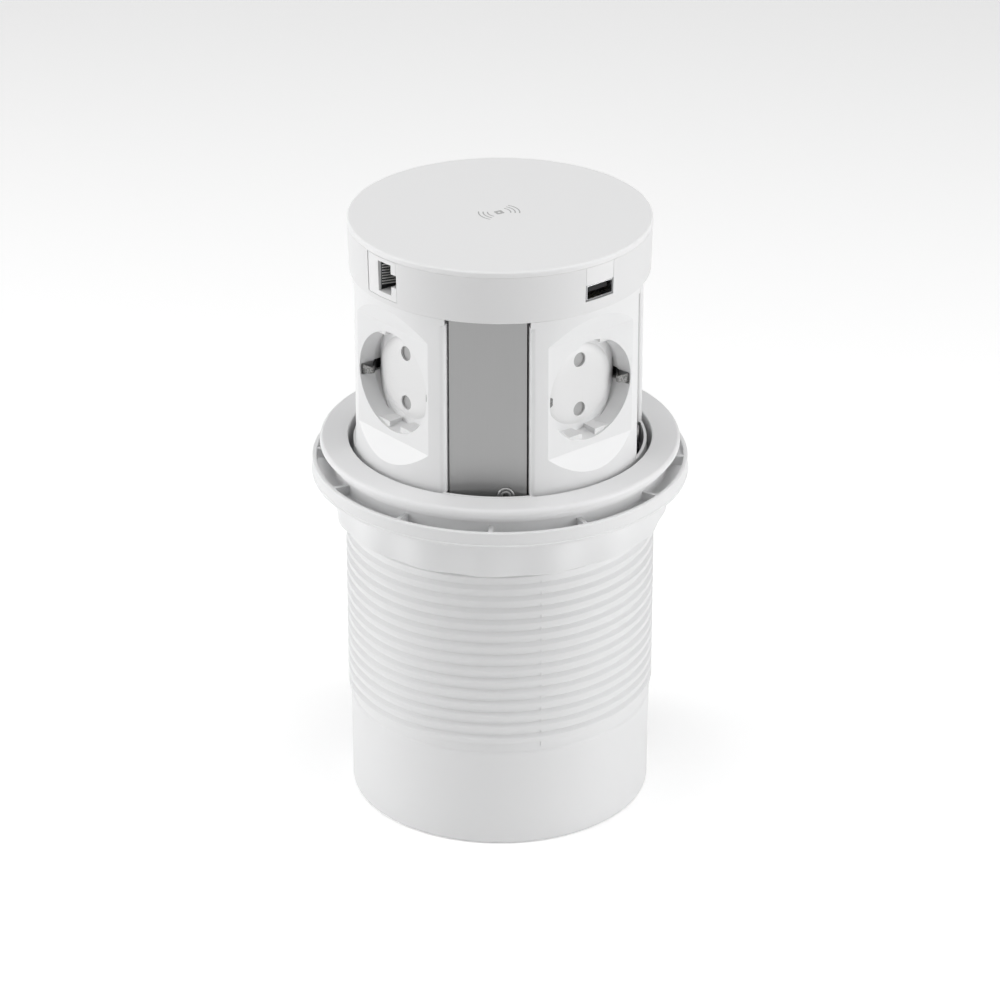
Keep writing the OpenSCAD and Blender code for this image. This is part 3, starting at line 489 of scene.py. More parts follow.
def filleted(corners: Sequence[tuple[float, ...]], steps: int = 5) -> list[Point2]:
    """Rounds the corners of a closed outline.

    Args:
        corners: Points as (x, y) or (x, y, radius).
        steps: Segments of each round.

    Returns:
        The outline with its rounds as short chords.
    """
    outline: list[Point2] = []
    count = len(corners)
    for index, corner in enumerate(corners):
        here = Vector(corner[:2])
        radius = corner[2] if len(corner) > 2 else 0.0
        before = (Vector(corners[index - 1][:2]) - here).normalized()
        after = (Vector(corners[(index + 1) % count][:2]) - here).normalized()
        half = before.angle(after) / 2.0
        if radius <= 0.0 or half > math.radians(89.0):
            outline.append(tuple(here))
            continue
        reach = radius / math.tan(half)
        centre = here + (before + after).normalized() * (radius / math.sin(half))
        start = here + before * reach - centre
        end = here + after * reach - centre
        sweep = start.angle_signed(end)
        for step in range(steps + 1):
            spoke = start.copy()
            spoke.rotate(Matrix.Rotation(-sweep * step / steps, 2))
            outline.append(tuple(centre + spoke))
    return outline


def pull(vert: bmesh.types.BMVert, radius: float, wanted: float) -> None:
    """Moves a vertex level, straight to or from Z, from one radius to another."""
    vert.co.x *= wanted / radius
    vert.co.y *= wanted / radius


class Solid:
    """A closed mesh in millimetres that operators shape before it becomes a piece."""

    def __init__(self) -> None:
        """Starts with an empty mesh."""
        self.bm = bmesh.new()

    @classmethod
    def turned(
        cls,
        section: Sequence[Point2],
        steps: int = ROUND_STEPS,
        sweep: float = 360.0,
        start: float = 0.0,
    ) -> "Solid":
        """Revolves a closed section about Z.

        Args:
            section: Corners as (radius, height).
            steps: Segments of the sweep.
            sweep: Angle in degrees.
            start: Bearing at which the sweep begins.

        Returns:
            The solid.
        """
        solid = cls()
        bm = solid.bm
        verts = [bm.verts.new((radius, 0.0, height)) for radius, height in section]
        full = sweep >= 360.0
        if full:
            pairs = zip(verts, verts[1:] + verts[:1])
            geom = verts + [bm.edges.new(p) for p in pairs if max(v.co.x for v in p) > 0.0]
        else:
            face = bm.faces.new(verts)
            geom = verts + list(face.edges) + [face]
        solid._spin(geom, math.radians(sweep), steps, 0.0, full)
        return solid.turn(start).sealed()

    def _spin(
        self, geom: Sequence[object], angle: float, steps: int, rise: float, merge: bool
    ) -> None:
        """Sweeps geometry about Z.

        Args:
            geom: The vertices, edges and faces to sweep.
            angle: Angle of the sweep in radians.
            steps: Segments of the sweep.
            rise: Rise of each segment.
            merge: Whether the last segment meets the first.
        """
        bmesh.ops.spin(
            self.bm, geom=geom, cent=(0, 0, 0), axis=(0, 0, 1), dvec=(0, 0, rise), angle=angle,
            steps=steps, use_merge=merge, use_normal_flip=False, use_duplicate=False,
        )

    @classmethod
    def threaded(
        cls, section: Sequence[Point2], pitch: float, turns: int, steps: int = 96
    ) -> "Solid":
        """Sweeps a closed section along a right-handed helix about Z.

        Args:
            section: Corners as (radius, height).
            pitch: Rise of one turn.
            turns: Number of turns.
            steps: Segments of one turn.

        Returns:
            The solid.
        """
        solid = cls()
        bm = solid.bm
        face = bm.faces.new([bm.verts.new((radius, 0.0, height)) for radius, height in section])
        geom = list(face.verts) + list(face.edges) + [face]
        solid._spin(geom, math.tau * turns, steps * turns, pitch / steps, False)
        return solid.sealed(0.0)

    @classmethod
    def extruded(cls, outline: Sequence[Point2], depth: float) -> "Solid":
        """Pushes a flat outline up Z.

        Args:
            outline: Corners as (x, y).
            depth: Height of the solid.

        Returns:
            The solid.
        """
        solid = cls()
        face = solid.bm.faces.new([solid.bm.verts.new((x, y, 0.0)) for x, y in outline])
        made = bmesh.ops.extrude_face_region(solid.bm, geom=[face])
        top = [item for item in made["geom"] if isinstance(item, bmesh.types.BMVert)]
        bmesh.ops.translate(solid.bm, verts=top, vec=(0, 0, depth))
        return solid.sealed(0.0)

    @classmethod
    def block(cls, low: Sequence[float], high: Sequence[float]) -> "Solid":
        """Makes a box between two corners.

        Args:
            low: Lowest corner.
            high: Highest corner.

        Returns:
            The solid.
        """
        solid = cls()
        bmesh.ops.create_cube(solid.bm, size=1.0)
        size = [b - a for a, b in zip(low, high)]
        middle = [(a + b) / 2.0 for a, b in zip(low, high)]
        bmesh.ops.scale(solid.bm, verts=solid.bm.verts, vec=size)
        bmesh.ops.translate(solid.bm, verts=solid.bm.verts, vec=middle)
        return solid

    @classmethod
    def rod(cls, radius: float, low: float, high: float, steps: int = 48) -> "Solid":
        """Makes a cylinder on the Z axis.

        Args:
            radius: Its radius.
            low: Height of its lower end.
            high: Height of its upper end.
            steps: Segments round it.

        Returns:
            The solid.
        """
        solid = cls()
        bmesh.ops.create_cone(
            solid.bm, cap_ends=True, cap_tris=False, segments=steps, radius1=radius,
            radius2=radius, depth=high - low,
        )
        return solid.shift(0, 0, (low + high) / 2.0)

    def sealed(self, merge: float = 1e-4) -> "Solid":
        """Merges doubles and turns the faces outwards.

        Args:
            merge: Distance within which vertices merge; 0 merges none.

        Returns:
            This solid.
        """
        if merge > 0.0:
            bmesh.ops.remove_doubles(self.bm, verts=self.bm.verts, dist=merge)
        bmesh.ops.recalc_face_normals(self.bm, faces=self.bm.faces)
        return self

    def shift(self, x: float, y: float, z: float) -> "Solid":
        """Moves the solid along the three axes and gives it back."""
        bmesh.ops.translate(self.bm, verts=self.bm.verts, vec=(x, y, z))
        return self

    def turn(self, degrees: float, axis: str = "Z") -> "Solid":
        """Turns the solid about an axis through the origin.

        Args:
            degrees: Angle.
            axis: The axis' letter.

        Returns:
            This solid.
        """
        spun = Matrix.Rotation(math.radians(degrees), 3, axis)
        bmesh.ops.rotate(self.bm, verts=self.bm.verts, cent=(0, 0, 0), matrix=spun)
        return self

    def outwards(self, z: float = 0.0, y: float = 0.0) -> "Solid":
        """Lays a solid made along Z out along X, and sets its height and side offset."""
        return self.turn(90.0, "Y").shift(0, y, z)

    def copy(self) -> "Solid":
        """Copies the solid.

        Returns:
            A second solid of the same shape.
        """
        twin = Solid()
        twin.bm = self.bm.copy()
        return twin

    def mirrored(self) -> "Solid":
        """Mirrors the solid in the XZ plane, with its faces outwards."""
        bmesh.ops.scale(self.bm, verts=self.bm.verts, vec=(1, -1, 1))
        return self.sealed(0.0)

    def with_loose(self, *others: "Solid") -> "Solid":
        """Adds other solids' shells without cutting.

        Args:
            *others: The solids to add.

        Returns:
            This solid.
        """
        for other in others:
            mesh = bpy.data.meshes.new("loose")
            other.bm.to_mesh(mesh)
            self.bm.from_mesh(mesh)
            bpy.data.meshes.remove(mesh)
        return self

    def softened(self, width: float, above: float = 30.0, segments: int = 2) -> "Solid":
        """Bevels every edge that is sharper than an angle.

        Args:
            width: Width of the bevel.
            above: Least angle between the edge's faces, in degrees.
            segments: Segments of the bevel.

        Returns:
            This solid.
        """
        limit = math.radians(above)
        edges = [edge for edge in self.bm.edges if edge.calc_face_angle(0.0) > limit]
        bmesh.ops.bevel(
            self.bm, geom=edges, offset=width, offset_type="OFFSET", affect="EDGES",
            segments=segments, profile=0.5, material=-1, clamp_overlap=True, loop_slide=True,
        )
        return self

    def _object(self) -> bpy.types.Object:
        """Links the solid as a passing object.

        Returns:
            The object.
        """
        mesh = bpy.data.meshes.new("passing")
        self.bm.to_mesh(mesh)
        return linked("passing", mesh)

    def boolean(self, operation: Cut, *tools: "Solid") -> "Solid":
        """Combines the solid with others in turn.

        Args:
            operation: How they combine.
            *tools: The other solids.

        Returns:
            This solid.
        """
        objects = [self._object()] + [tool._object() for tool in tools]
        for tool in objects[1:]:
            modifier = objects[0].modifiers.new("boolean", "BOOLEAN")
            modifier.operation = operation.value
            modifier.solver = "EXACT"
            modifier.object = tool
        bpy.context.view_layer.update()
        graph = bpy.context.evaluated_depsgraph_get()
        result = bpy.data.meshes.new_from_object(objects[0].evaluated_get(graph))
        self.bm.clear()
        self.bm.from_mesh(result)
        for made in objects:
            mesh = made.data
            bpy.data.objects.remove(made)
            bpy.data.meshes.remove(mesh)
        bpy.data.meshes.remove(result)
        bmesh.ops.remove_doubles(self.bm, verts=self.bm.verts, dist=TINY)
        bmesh.ops.dissolve_degenerate(self.bm, edges=self.bm.edges, dist=TINY)
        return self

    def less(self, *tools: "Solid") -> "Solid":
        """Cuts other solids away."""
        return self.boolean(Cut.AWAY, *tools)

    def plus(self, *tools: "Solid") -> "Solid":
        """Joins other solids on."""
        return self.boolean(Cut.TOGETHER, *tools)

    def within(self, *tools: "Solid") -> "Solid":
        """Keeps what lies in the other solids too."""
        return self.boolean(Cut.COMMON, *tools)

    def piece(
        self,
        name: str,
        body: Body,
        slot: Slot,
        stands_for: Sequence[str] = (),
        finish: Optional[Finish] = None,
        sharp: float = 38.0,
    ) -> None:
        """Turns the solid into a piece of the scene.

        Args:
            name: The piece's name.
            body: The body that it rides on.
            slot: Its material slot in the record.
            stands_for: CAD nodes that it stands for.
            finish: A finish of its own, where the slot's doesn't do.
            sharp: Edges with a larger angle are shaded sharp.
        """
        limit = math.radians(sharp)
        for edge in self.bm.edges:
            edge.smooth = edge.calc_face_angle(0.0) < limit
        for face in self.bm.faces:
            face.smooth = True
        bmesh.ops.scale(self.bm, verts=self.bm.verts, vec=(MM, MM, MM))
        mesh = bpy.data.meshes.new(name)
        self.bm.to_mesh(mesh)
        self.bm.free()
        mesh.materials.append(PALETTE.of(finish or slot))
        made = linked(name, mesh)
        made.modifiers.new("weighted", "WEIGHTED_NORMAL").keep_sharp = True
        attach(made, body.value)
        if stands_for:
            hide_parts(*stands_for)
        LOG.info("%s: %d faces, on %s", name, len(mesh.polygons), body.value)

    def around(
        self, name: str, node: str, bodies: Sequence[Body], slot: Slot, bearings: Sequence[float]
    ) -> None:
        """Turns copies of the solid into numbered pieces round the column.

        Args:
            name: Name of the pieces, without their number.
            node: Name of the CAD nodes that they stand for, without their number.
            bodies: The body that each rides on.
            slot: Their material slot in the record.
            bearings: The bearing of each.
        """
        for number, (bearing, body) in enumerate(zip(bearings, bodies), 1):
            twin = self.copy().turn(bearing)
            twin.piece(f"{name}_{number}", body, slot, [f"{node}_{number}"])
        self.bm.free()


# Sub-assemblies


@dataclass
class Sleeve:
    """Threaded sleeve with its flange, ribs, parting seams and cable grommet."""

    base_r: float = 55.3
    bore_r: float = 53.8
    thread_z: float = 39.1
    pitch: float = 4.68
    turns: int = 17
    root_r: float = 55.2
    crest_r: float = 56.5
    neck_r: float = 57.2
    flange_z: float = 127.6
    channel_z: float = 129.5
    lip_r: float = 68.7
    lip_t: float = 1.9
    lip_top_z: float = 133.4
    hub_r: float = 61.0
    hub_top_z: float = 136.9
    hub_bore_r: float = 55.4
    ledge_z: float = 119.0
    rib_count: int = 12
    rib_t: float = 1.5
    rib_bearing: float = -43.0
    bead: float = 0.25
    root_sunk: float = 0.35
    thread_bearing: float = 150.0
    runout: float = 20.0
    seam_bearing: float = -24.5
    seam_top_z: float = 117.5
    seat_z: float = 127.9
    seat_r: float = 61.4
    bush_bearing: float = 320.0
    bush_d: float = 34.0
    bush_bore_r: float = 4.2

    def build(self) -> None:
        """Builds the sleeve's pieces."""
        self._wall()
        self._thread()
        self._seams()
        self._grommet()

    def _wall(self) -> None:
        """Builds the moulding apart from its thread."""
        neck_z = self.thread_z + self.turns * self.pitch + 0.6
        inner_lip, lip = self.lip_r - self.lip_t, self.lip_r - self.bead
        section = filleted([
            (self.bore_r, 0.0, 0.3), (self.base_r, 0.0, 1.5),
            (self.root_r + 0.4, self.thread_z - 1.5, 2.0), (self.root_r, self.thread_z - 0.6, 0.4),
            (self.root_r, neck_z - 1.0, 0.6), (self.neck_r, neck_z, 0.5),
            (self.neck_r, self.seat_z, 0.5), (self.seat_r, self.seat_z),
            (self.seat_r, self.flange_z), (self.lip_r, self.flange_z, 0.3),
            (self.lip_r, self.flange_z + 0.9, 0.2), (lip, self.flange_z + 1.1),
            (lip, self.lip_top_z, 0.55), (inner_lip, self.lip_top_z, 0.45),
            (inner_lip, self.channel_z, 0.6),
            (self.hub_r, self.channel_z, 0.6), (self.hub_r, self.hub_top_z, 0.3),
            (self.hub_bore_r, self.hub_top_z, 0.3), (self.hub_bore_r, self.ledge_z),
            (self.bore_r, self.ledge_z, 0.2),
        ])
        wall = Solid.turned(section)
        ribs = Solid()
        for index in range(self.rib_count):
            rib = Solid.block(
                (self.hub_r - 0.4, -self.rib_t / 2, self.channel_z - 0.4),
                (inner_lip + 0.5, self.rib_t / 2, self.lip_top_z - 0.4),
            )
            ribs.with_loose(rib.turn(self.rib_bearing + index * 360.0 / self.rib_count))
        wall.plus(ribs)
        wall.piece("sleeve_wall", Body.HOUSING, Slot.SLEEVE, ["housing_sleeve"])

    def _thread(self) -> None:
        """Builds the single-start helix, run out at both ends."""
        start, p = self.thread_z, self.pitch
        low, edge = self.root_r - self.root_sunk, self.crest_r - 0.12
        profile = (
            (low, 0.07), (self.root_r, 0.10), (edge, 0.23), (self.crest_r, 0.26),
            (self.crest_r, 0.60), (edge, 0.64), (self.root_r, 0.92), (low, 0.95),
        )
        section = [(radius, start + share * p) for radius, share in profile]
        thread = Solid.threaded(section, p, self.turns)
        runout = self.runout * p / 360.0
        top = start + self.turns * p
        for vert in thread.bm.verts:
            radius = vert.co.to_2d().length
            part = math.atan2(vert.co.y, vert.co.x) % math.tau / math.tau * p
            rise = vert.co.z - start - 0.5 * p
            along = round((rise - part) / p) * p + part
            share = min(1.0, max(0.0, min(along, top - start - along) / runout))
            pull(vert, radius, low + (radius - low) * share)
        thread.turn(self.thread_bearing).piece("sleeve_thread", Body.HOUSING, Slot.SLEEVE)

    def _seams(self) -> None:
        """Builds the fine ridges that the mould's parting leaves on the thread."""
        seams = Solid()
        for half in (0.0, 180.0):
            seam = Solid.block(
                (self.root_r - 0.2, -0.08, self.thread_z + 1.0),
                (self.root_r + 0.35, 0.08, self.seam_top_z),
            )
            seams.with_loose(seam.turn(self.seam_bearing + half))
        seams.softened(0.05, 30.0, 1).piece("parting_seams", Body.HOUSING, Slot.SLEEVE)

    def _grommet(self) -> None:
        """Builds the soft bush of the cable's way out of the bottom cover."""
        bore, body, rim = self.bush_bore_r, self.bush_bore_r + 1.2, self.bush_bore_r + 2.4
        section = filleted([
            (bore, 0.2, 0.25), (rim, 0.2, 0.25), (rim, 0.9, 0.25), (body, 0.9), (body, 3.05),
            (rim, 3.05, 0.2), (rim, 3.7, 0.3), (body - 0.3, 4.55, 0.4), (bore, 4.55, 0.3),
        ], 3)
        bush = Solid.turned(section, 48).shift(self.bush_d, 0, 0).turn(self.bush_bearing)
        bush.piece("cable_bush", Body.HOUSING, Slot.RUBBER, ["cable_grommet"])


@dataclass
class TrimCollar:
    """Collar that covers the channel's inner edge."""

    outer_r: float = 65.5
    hole_r: float = 55.2
    low_z: float = 136.9
    thick: float = 4.0
    spigot_r: Point2 = (61.1, 62.5)
    spigot_h: float = 2.0
    undercut: Point2 = (1.3, 1.7)

    def build(self) -> None:
        """Builds the collar with its round outer edge, undercut from below."""
        top, foot = self.low_z + self.thick, self.low_z - self.spigot_h
        inner, outer = self.spigot_r
        edge_r, edge_z = self.outer_r - self.undercut[0], self.low_z + self.undercut[1]
        section = filleted([
            (self.hole_r, self.low_z, 0.2), (inner, self.low_z), (inner, foot, 0.3),
            (outer, foot, 0.3), (outer, self.low_z), (edge_r, self.low_z, 0.3),
            (edge_r, edge_z, 0.2), (self.outer_r, edge_z, 0.45),
            (self.outer_r, top, 1.3), (self.hole_r, top, 0.5),
        ], 7)
        Solid.turned(section).piece("collar", Body.HOUSING, Slot.COLLAR, ["trim_collar"])


@dataclass
class RingNut:
    """Clamping nut with a wavy grip."""

    crest_r: float = 61.0
    wave: float = 1.1
    lobes: int = 16
    steps: int = 384
    low_z: float = 112.2
    high_z: float = 127.3
    bore_r: float = 56.85
    step_r: float = 57.55
    step_z: float = 118.26
    bearing: float = -43.0 - 1.4

    def build(self) -> None:
        """Builds the nut as a turned ring whose rim is drawn in between its lobes."""
        section = filleted([
            (self.bore_r, self.low_z, 0.5), (self.crest_r, self.low_z, 0.7),
            (self.crest_r, self.high_z, 0.7), (self.step_r, self.high_z, 0.5),
            (self.step_r, self.step_z, 0.2), (self.bore_r, self.step_z, 0.2),
        ])
        nut = Solid.turned(section, self.steps)
        for vert in nut.bm.verts:
            radius = vert.co.to_2d().length
            angle = math.atan2(vert.co.y, vert.co.x) - math.radians(self.bearing)
            dip = (1.0 - math.cos(self.lobes * angle)) / 2.0
            share = max(0.0, (radius - self.step_r) / (self.crest_r - self.step_r))
            pull(vert, radius, radius - self.wave * dip * share)
        nut.piece("clamping_nut", Body.NUT, Slot.SLEEVE, ["ring_nut"])


@dataclass
class SocketFace:
    """Panel, recess insert and shutter, each made once for four sides, and the earth clips."""

    column_r: float = 53.35
    face_d: float = 49.6
    panel_t: float = 2.1
    half_angle: float = 28.6
    low_z: float = 140.0
    high_z: float = 204.4
    socket_z: float = 175.0
    face_h: float = 43.0
    ramp_h: float = 8.2
    recess_r: float = 18.9
    bezel_depth: float = 6.0
    recess_depth: float = 13.0
    plate_t: float = 0.8
    pin_pitch: float = 19.0
    pin_r: float = 2.7
    guide_chord: float = 16.4
    guide_slots: Point2 = (6.0, 10.0)
    slot_h: float = 4.3
    slot_drop: float = 1.3
    clip_reach: float = 4.6
    clip_t: float = 0.8
    edge_t: float = 1.6
    edge_r: float = 46.6
    edge_round: float = 2.0
    bezel_draft: float = 0.85
    plate: tuple[Point2, ...] = (
        (17.7, 12.8), (17.3, 10.2), (16.9, 8.9), (16.3, 7.9), (15.4, 7.1), (14.2, 6.5),
        (12.6, 6.15), (10.5, 6.0), (0.0, 6.0),
    )
    cup_t: float = 2.4
    box_depth: float = 16.7
    box_half: Point2 = (12.5, 15.5)
    box_wall: float = 1.6
    arm_d: float = 37.4
    arm_half: float = 3.3
    arm_reach: float = 12.2
    pivot_r: float = 2.0
    pivot_d: float = 34.5
    clip_w: float = 3.6
    clip_waist: float = 1.1

    def build(self) -> None:
        """Builds the panels, inserts and shutters of the four sides, and the clips."""
        columns = (Body.COLUMN,) * len(SOCKET_BEARINGS)
        self._panel().around("panel", "socket_panel", columns, Slot.PANEL, SOCKET_BEARINGS)
        self._insert().around("recess", "socket_insert", columns, Slot.INSERT, SOCKET_BEARINGS)
        bodies = (Body.SHUTTER_1, Body.SHUTTER_2, Body.SHUTTER_3, Body.SHUTTER_4)
        self._shutter().around("shutter_arms", "shutter", bodies, Slot.SHUTTER, SOCKET_BEARINGS)
        self._clips()

    def _space(self, distance: float) -> Solid:
        """Makes the space in front of the flat face, with its ramps.

        Args:
            distance: Distance of the face from the axis.

        Returns:
            The space.
        """
        out = 8.0
        rise = self.face_h / 2 + self.ramp_h * out / (self.column_r - self.face_d)
        half = self.face_h / 2
        far = distance + out
        outline = [(distance, -half), (far, -rise), (far, rise), (distance, half)]
        return Solid.extruded(outline, 60.0).turn(90.0, "X").shift(0, 30.0, self.socket_z)

    def _sector(self, low: float, high: float, low_z: float, high_z: float, half: float) -> Solid:
        """Makes a piece of tube about Z, from its radii, heights and half of its angle."""
        section = [(low, low_z), (high, low_z), (high, high_z), (low, high_z)]
        return Solid.turned(section, 72, 2.0 * half, -half)

    def _shell_outline(self, steps: int = 48) -> list[Point2]:
        """Draws the panel seen from above, with its side edges rounded.

        Args:
            steps: Segments of the outer curve.

        Returns:
            Corners as (x, y), anticlockwise.
        """
        side = math.radians(self.half_angle)
        middle_r = self.column_r - self.edge_round
        centre = side - math.asin(self.edge_round / middle_r)
        turns = [centre * (2.0 * step / steps - 1.0) for step in range(1, steps)]
        outer = [(self.column_r * math.cos(turn), self.column_r * math.sin(turn)) for turn in turns]
        corner = []
        for step in range(10):
            turn = centre + (side + math.pi / 2 - centre) * step / 9
            corner.append((
                middle_r * math.cos(centre) + self.edge_round * math.cos(turn),
                middle_r * math.sin(centre) + self.edge_round * math.sin(turn),
            ))
        corner.append((self.edge_r * math.cos(side), self.edge_r * math.sin(side)))
        return [(x, -y) for x, y in reversed(corner)] + outer + corner

    def _panel(self) -> Solid:
        """Makes one panel at bearing 0.

        Returns:
            The panel.
        """
        inner_r = self.column_r - self.panel_t
        edge = math.degrees(self.edge_t / self.column_r)
        shell = Solid.extruded(self._shell_outline(), self.high_z - self.low_z)
        shell.shift(0, 0, self.low_z)
        hollow = self._sector(
            self.edge_r - 2.0, inner_r, self.low_z - 1.0, self.high_z + 1.0, self.half_angle - edge
        )
        shell.less(self._space(self.face_d))
        hollow.less(self._space(self.face_d - self.panel_t))
        shell.less(hollow)
        tongue_r = self.column_r - 1.05 - 0.1
        tongue = self._sector(
            tongue_r - 1.6, tongue_r, self.low_z - 6.0, self.low_z + 1.4, self.half_angle - 1.0
        )
        deep = self.face_d - self.bezel_depth
        bezel = Solid.rod(self.recess_r + 1.6, deep, self.face_d - 0.5, BORE_STEPS)
        shell.plus(tongue, bezel.outwards(self.socket_z))
        narrow = self.recess_r - self.bezel_draft
        bore = Solid.turned([
            (0.0, deep - 1.0), (narrow, deep - 1.0), (narrow, deep),
            (self.recess_r, self.face_d - 0.2), (self.recess_r, self.face_d + 5.0),
            (0.0, self.face_d + 5.0),
        ], BORE_STEPS).outwards(self.socket_z)
        slots = Solid()
        for side in (-1.0, 1.0):
            middle = side * (self.recess_r - 0.4)
            slots.with_loose(self._slot(deep - 1.0, self.face_d - 0.5, middle))
        shell.less(bore, slots)
        return shell.softened(0.3, 14.0, 2)

    def _slot(self, low: float, high: float, middle: float) -> Solid:
        """Makes the space an earth clip stands in, from its back, front and side offset."""
        z, half = self.socket_z - self.slot_drop, self.slot_h / 2
        return Solid.block((low, middle - 2.0, z - half), (high, middle + 2.0, z + half))

    def _insert(self) -> Solid:
        """Makes one socket insert at bearing 0.

        Returns:
            The insert.
        """
        floor_d = self.face_d - self.recess_depth
        cup_d, front_d = floor_d - self.cup_t, self.face_d - self.bezel_depth - 0.1
        back_d = cup_d - self.box_depth
        wide, outer = self.recess_r - 0.35, self.recess_r + 1.2
        section = [(13.0, cup_d), (outer, cup_d), (outer, front_d), (wide + 0.25, front_d)]
        section += [(wide, front_d - 0.25), (wide, floor_d)]
        section += [(radius, self.face_d - depth) for radius, depth in self.plate]
        under = self.face_d - self.plate[-1][1] - self.plate_t
        section += [(0.0, under), (12.2, under - 0.1), (13.0, under - 0.9)]
        cup = Solid.turned(section, BORE_STEPS).outwards(self.socket_z)
        half, wall = self.box_half[0], self.box_wall
        low, high = self.socket_z - self.box_half[1], self.socket_z + self.box_half[1]
        box = Solid.block((back_d, -half, low), (cup_d + 0.05, half, high))
        box.less(Solid.block(
            (back_d + wall, wall - half, low + wall), (cup_d + 1.0, half - wall, high - wall)
        ))
        guides = Solid()
        for side, slot in zip((-1.0, 1.0), self.guide_slots):
            guides.with_loose(self._guide(side, slot, floor_d))
        cup.plus(box, guides)
        holes = Solid()
        for side in (-1.0, 1.0):
            height = self.socket_z + side * self.pin_pitch / 2
            holes.with_loose(
                Solid.rod(self.pin_r, cup_d, self.face_d, 40).outwards(height),
                Solid.rod(1.5, back_d - 1.0, back_d + 2.6, 24).outwards(height),
                self._slot(floor_d + 2.2, self.face_d, side * (wide + 1.4)),
            )
        cup.less(holes)
        return cup.softened(0.18, 32.0, 2)

    def _guide(self, side: float, slot: float, floor_d: float) -> Solid:
        """Makes the pair of guide teeth at one end of the recess, cut off along a chord.

        Args:
            side: -1 for the lower pair, 1 for the upper.
            slot: Width of the gap between the teeth.
            floor_d: Distance of the recess' floor from the axis.

        Returns:
            The teeth.
        """
        ends = sorted(self.socket_z + side * (self.guide_chord + reach) for reach in (0.0, 19.0))
        half = self.recess_r
        teeth = Solid.block((floor_d - 0.4, -half, ends[0]), (self.face_d - 0.9, half, ends[1]))
        gap = Solid.block(
            (floor_d - 1.0, -slot / 2, ends[0] - 1.0), (self.face_d, slot / 2, ends[1] + 1.0)
        )
        limit = Solid.rod(half - 0.1, floor_d - 1.0, self.face_d, BORE_STEPS)
        limit.outwards(self.socket_z)
        return teeth.less(gap).within(limit)

    def _shutter(self) -> Solid:
        """Makes one flat two-armed shutter, close under the pin plate, at bearing 0.

        Returns:
            The shutter.
        """
        front = self.face_d - self.plate[-1][1] - self.plate_t - 0.15
        back, half, tall = self.arm_d, self.arm_half, 14.0
        arms = Solid.block(
            (back, -half, self.socket_z - tall), (front, half, self.socket_z + tall)
        )
        limit = Solid.rod(self.arm_reach, back - 1.0, front + 1.0, 96).outwards(self.socket_z)
        arms.within(limit).softened(0.25, 40.0, 2)
        pivot = Solid.rod(self.pivot_r, self.pivot_d, back + 0.3, 32)
        return arms.with_loose(pivot.outwards(self.socket_z))

    def _clips(self) -> None:
        """Builds the eight sprung earth clips, narrower at the bend that stands out."""
        # The clips get painted shade, black from 3.3 mm behind the face inwards, deep in their
        # slots.
        plated = Sprung("clip_metal", (0.30, 0.30, 0.295), painted_shade_below=self.face_d - 3.3)
        cup_d, leg = self.face_d - self.recess_depth - self.cup_t, self.recess_r + 2.0
        bend, peak, tip = self.face_d - 9.6, self.face_d - 2.9, self.face_d - 1.2
        reach, wide, half_w = self.recess_r - self.clip_reach, self.clip_w, self.clip_w / 2
        side_view = filleted([
            (cup_d - self.clip_t, 12.6), (cup_d - self.clip_t, leg + self.clip_t, 1.2),
            (bend + 0.3, leg + self.clip_t, 1.5), (peak - 0.3, reach + 1.4, 0.5),
            (tip - 0.7, self.recess_r + 0.5), (tip, self.recess_r + 0.2), (peak, reach, 0.9),
            (bend, leg, 1.2), (cup_d, leg, 0.4), (cup_d, 12.6),
        ], 5)
        front_view = [
            (cup_d - 2.0, -wide), (bend, -half_w), (peak, -self.clip_waist), (tip, -half_w),
            (self.face_d, -wide),
        ]
        front_view += [(distance, -half) for distance, half in reversed(front_view)]
        width = Solid.extruded(front_view, 30.0).turn(90.0, "X").shift(0, 30.0, 0)
        clip = Solid.extruded(side_view, wide).shift(0, 0, -half_w)
        clip.within(width).softened(0.12, 50.0, 1)
        clips = Solid()
        for bearing in SOCKET_BEARINGS:
            for twin in (clip.copy(), clip.copy().mirrored()):
                clips.with_loose(twin.shift(0, 0, self.socket_z - self.slot_drop).turn(bearing))
        clips.piece("earth_clip_springs", Body.COLUMN, Slot.BRASS, ["earth_clips"], plated)


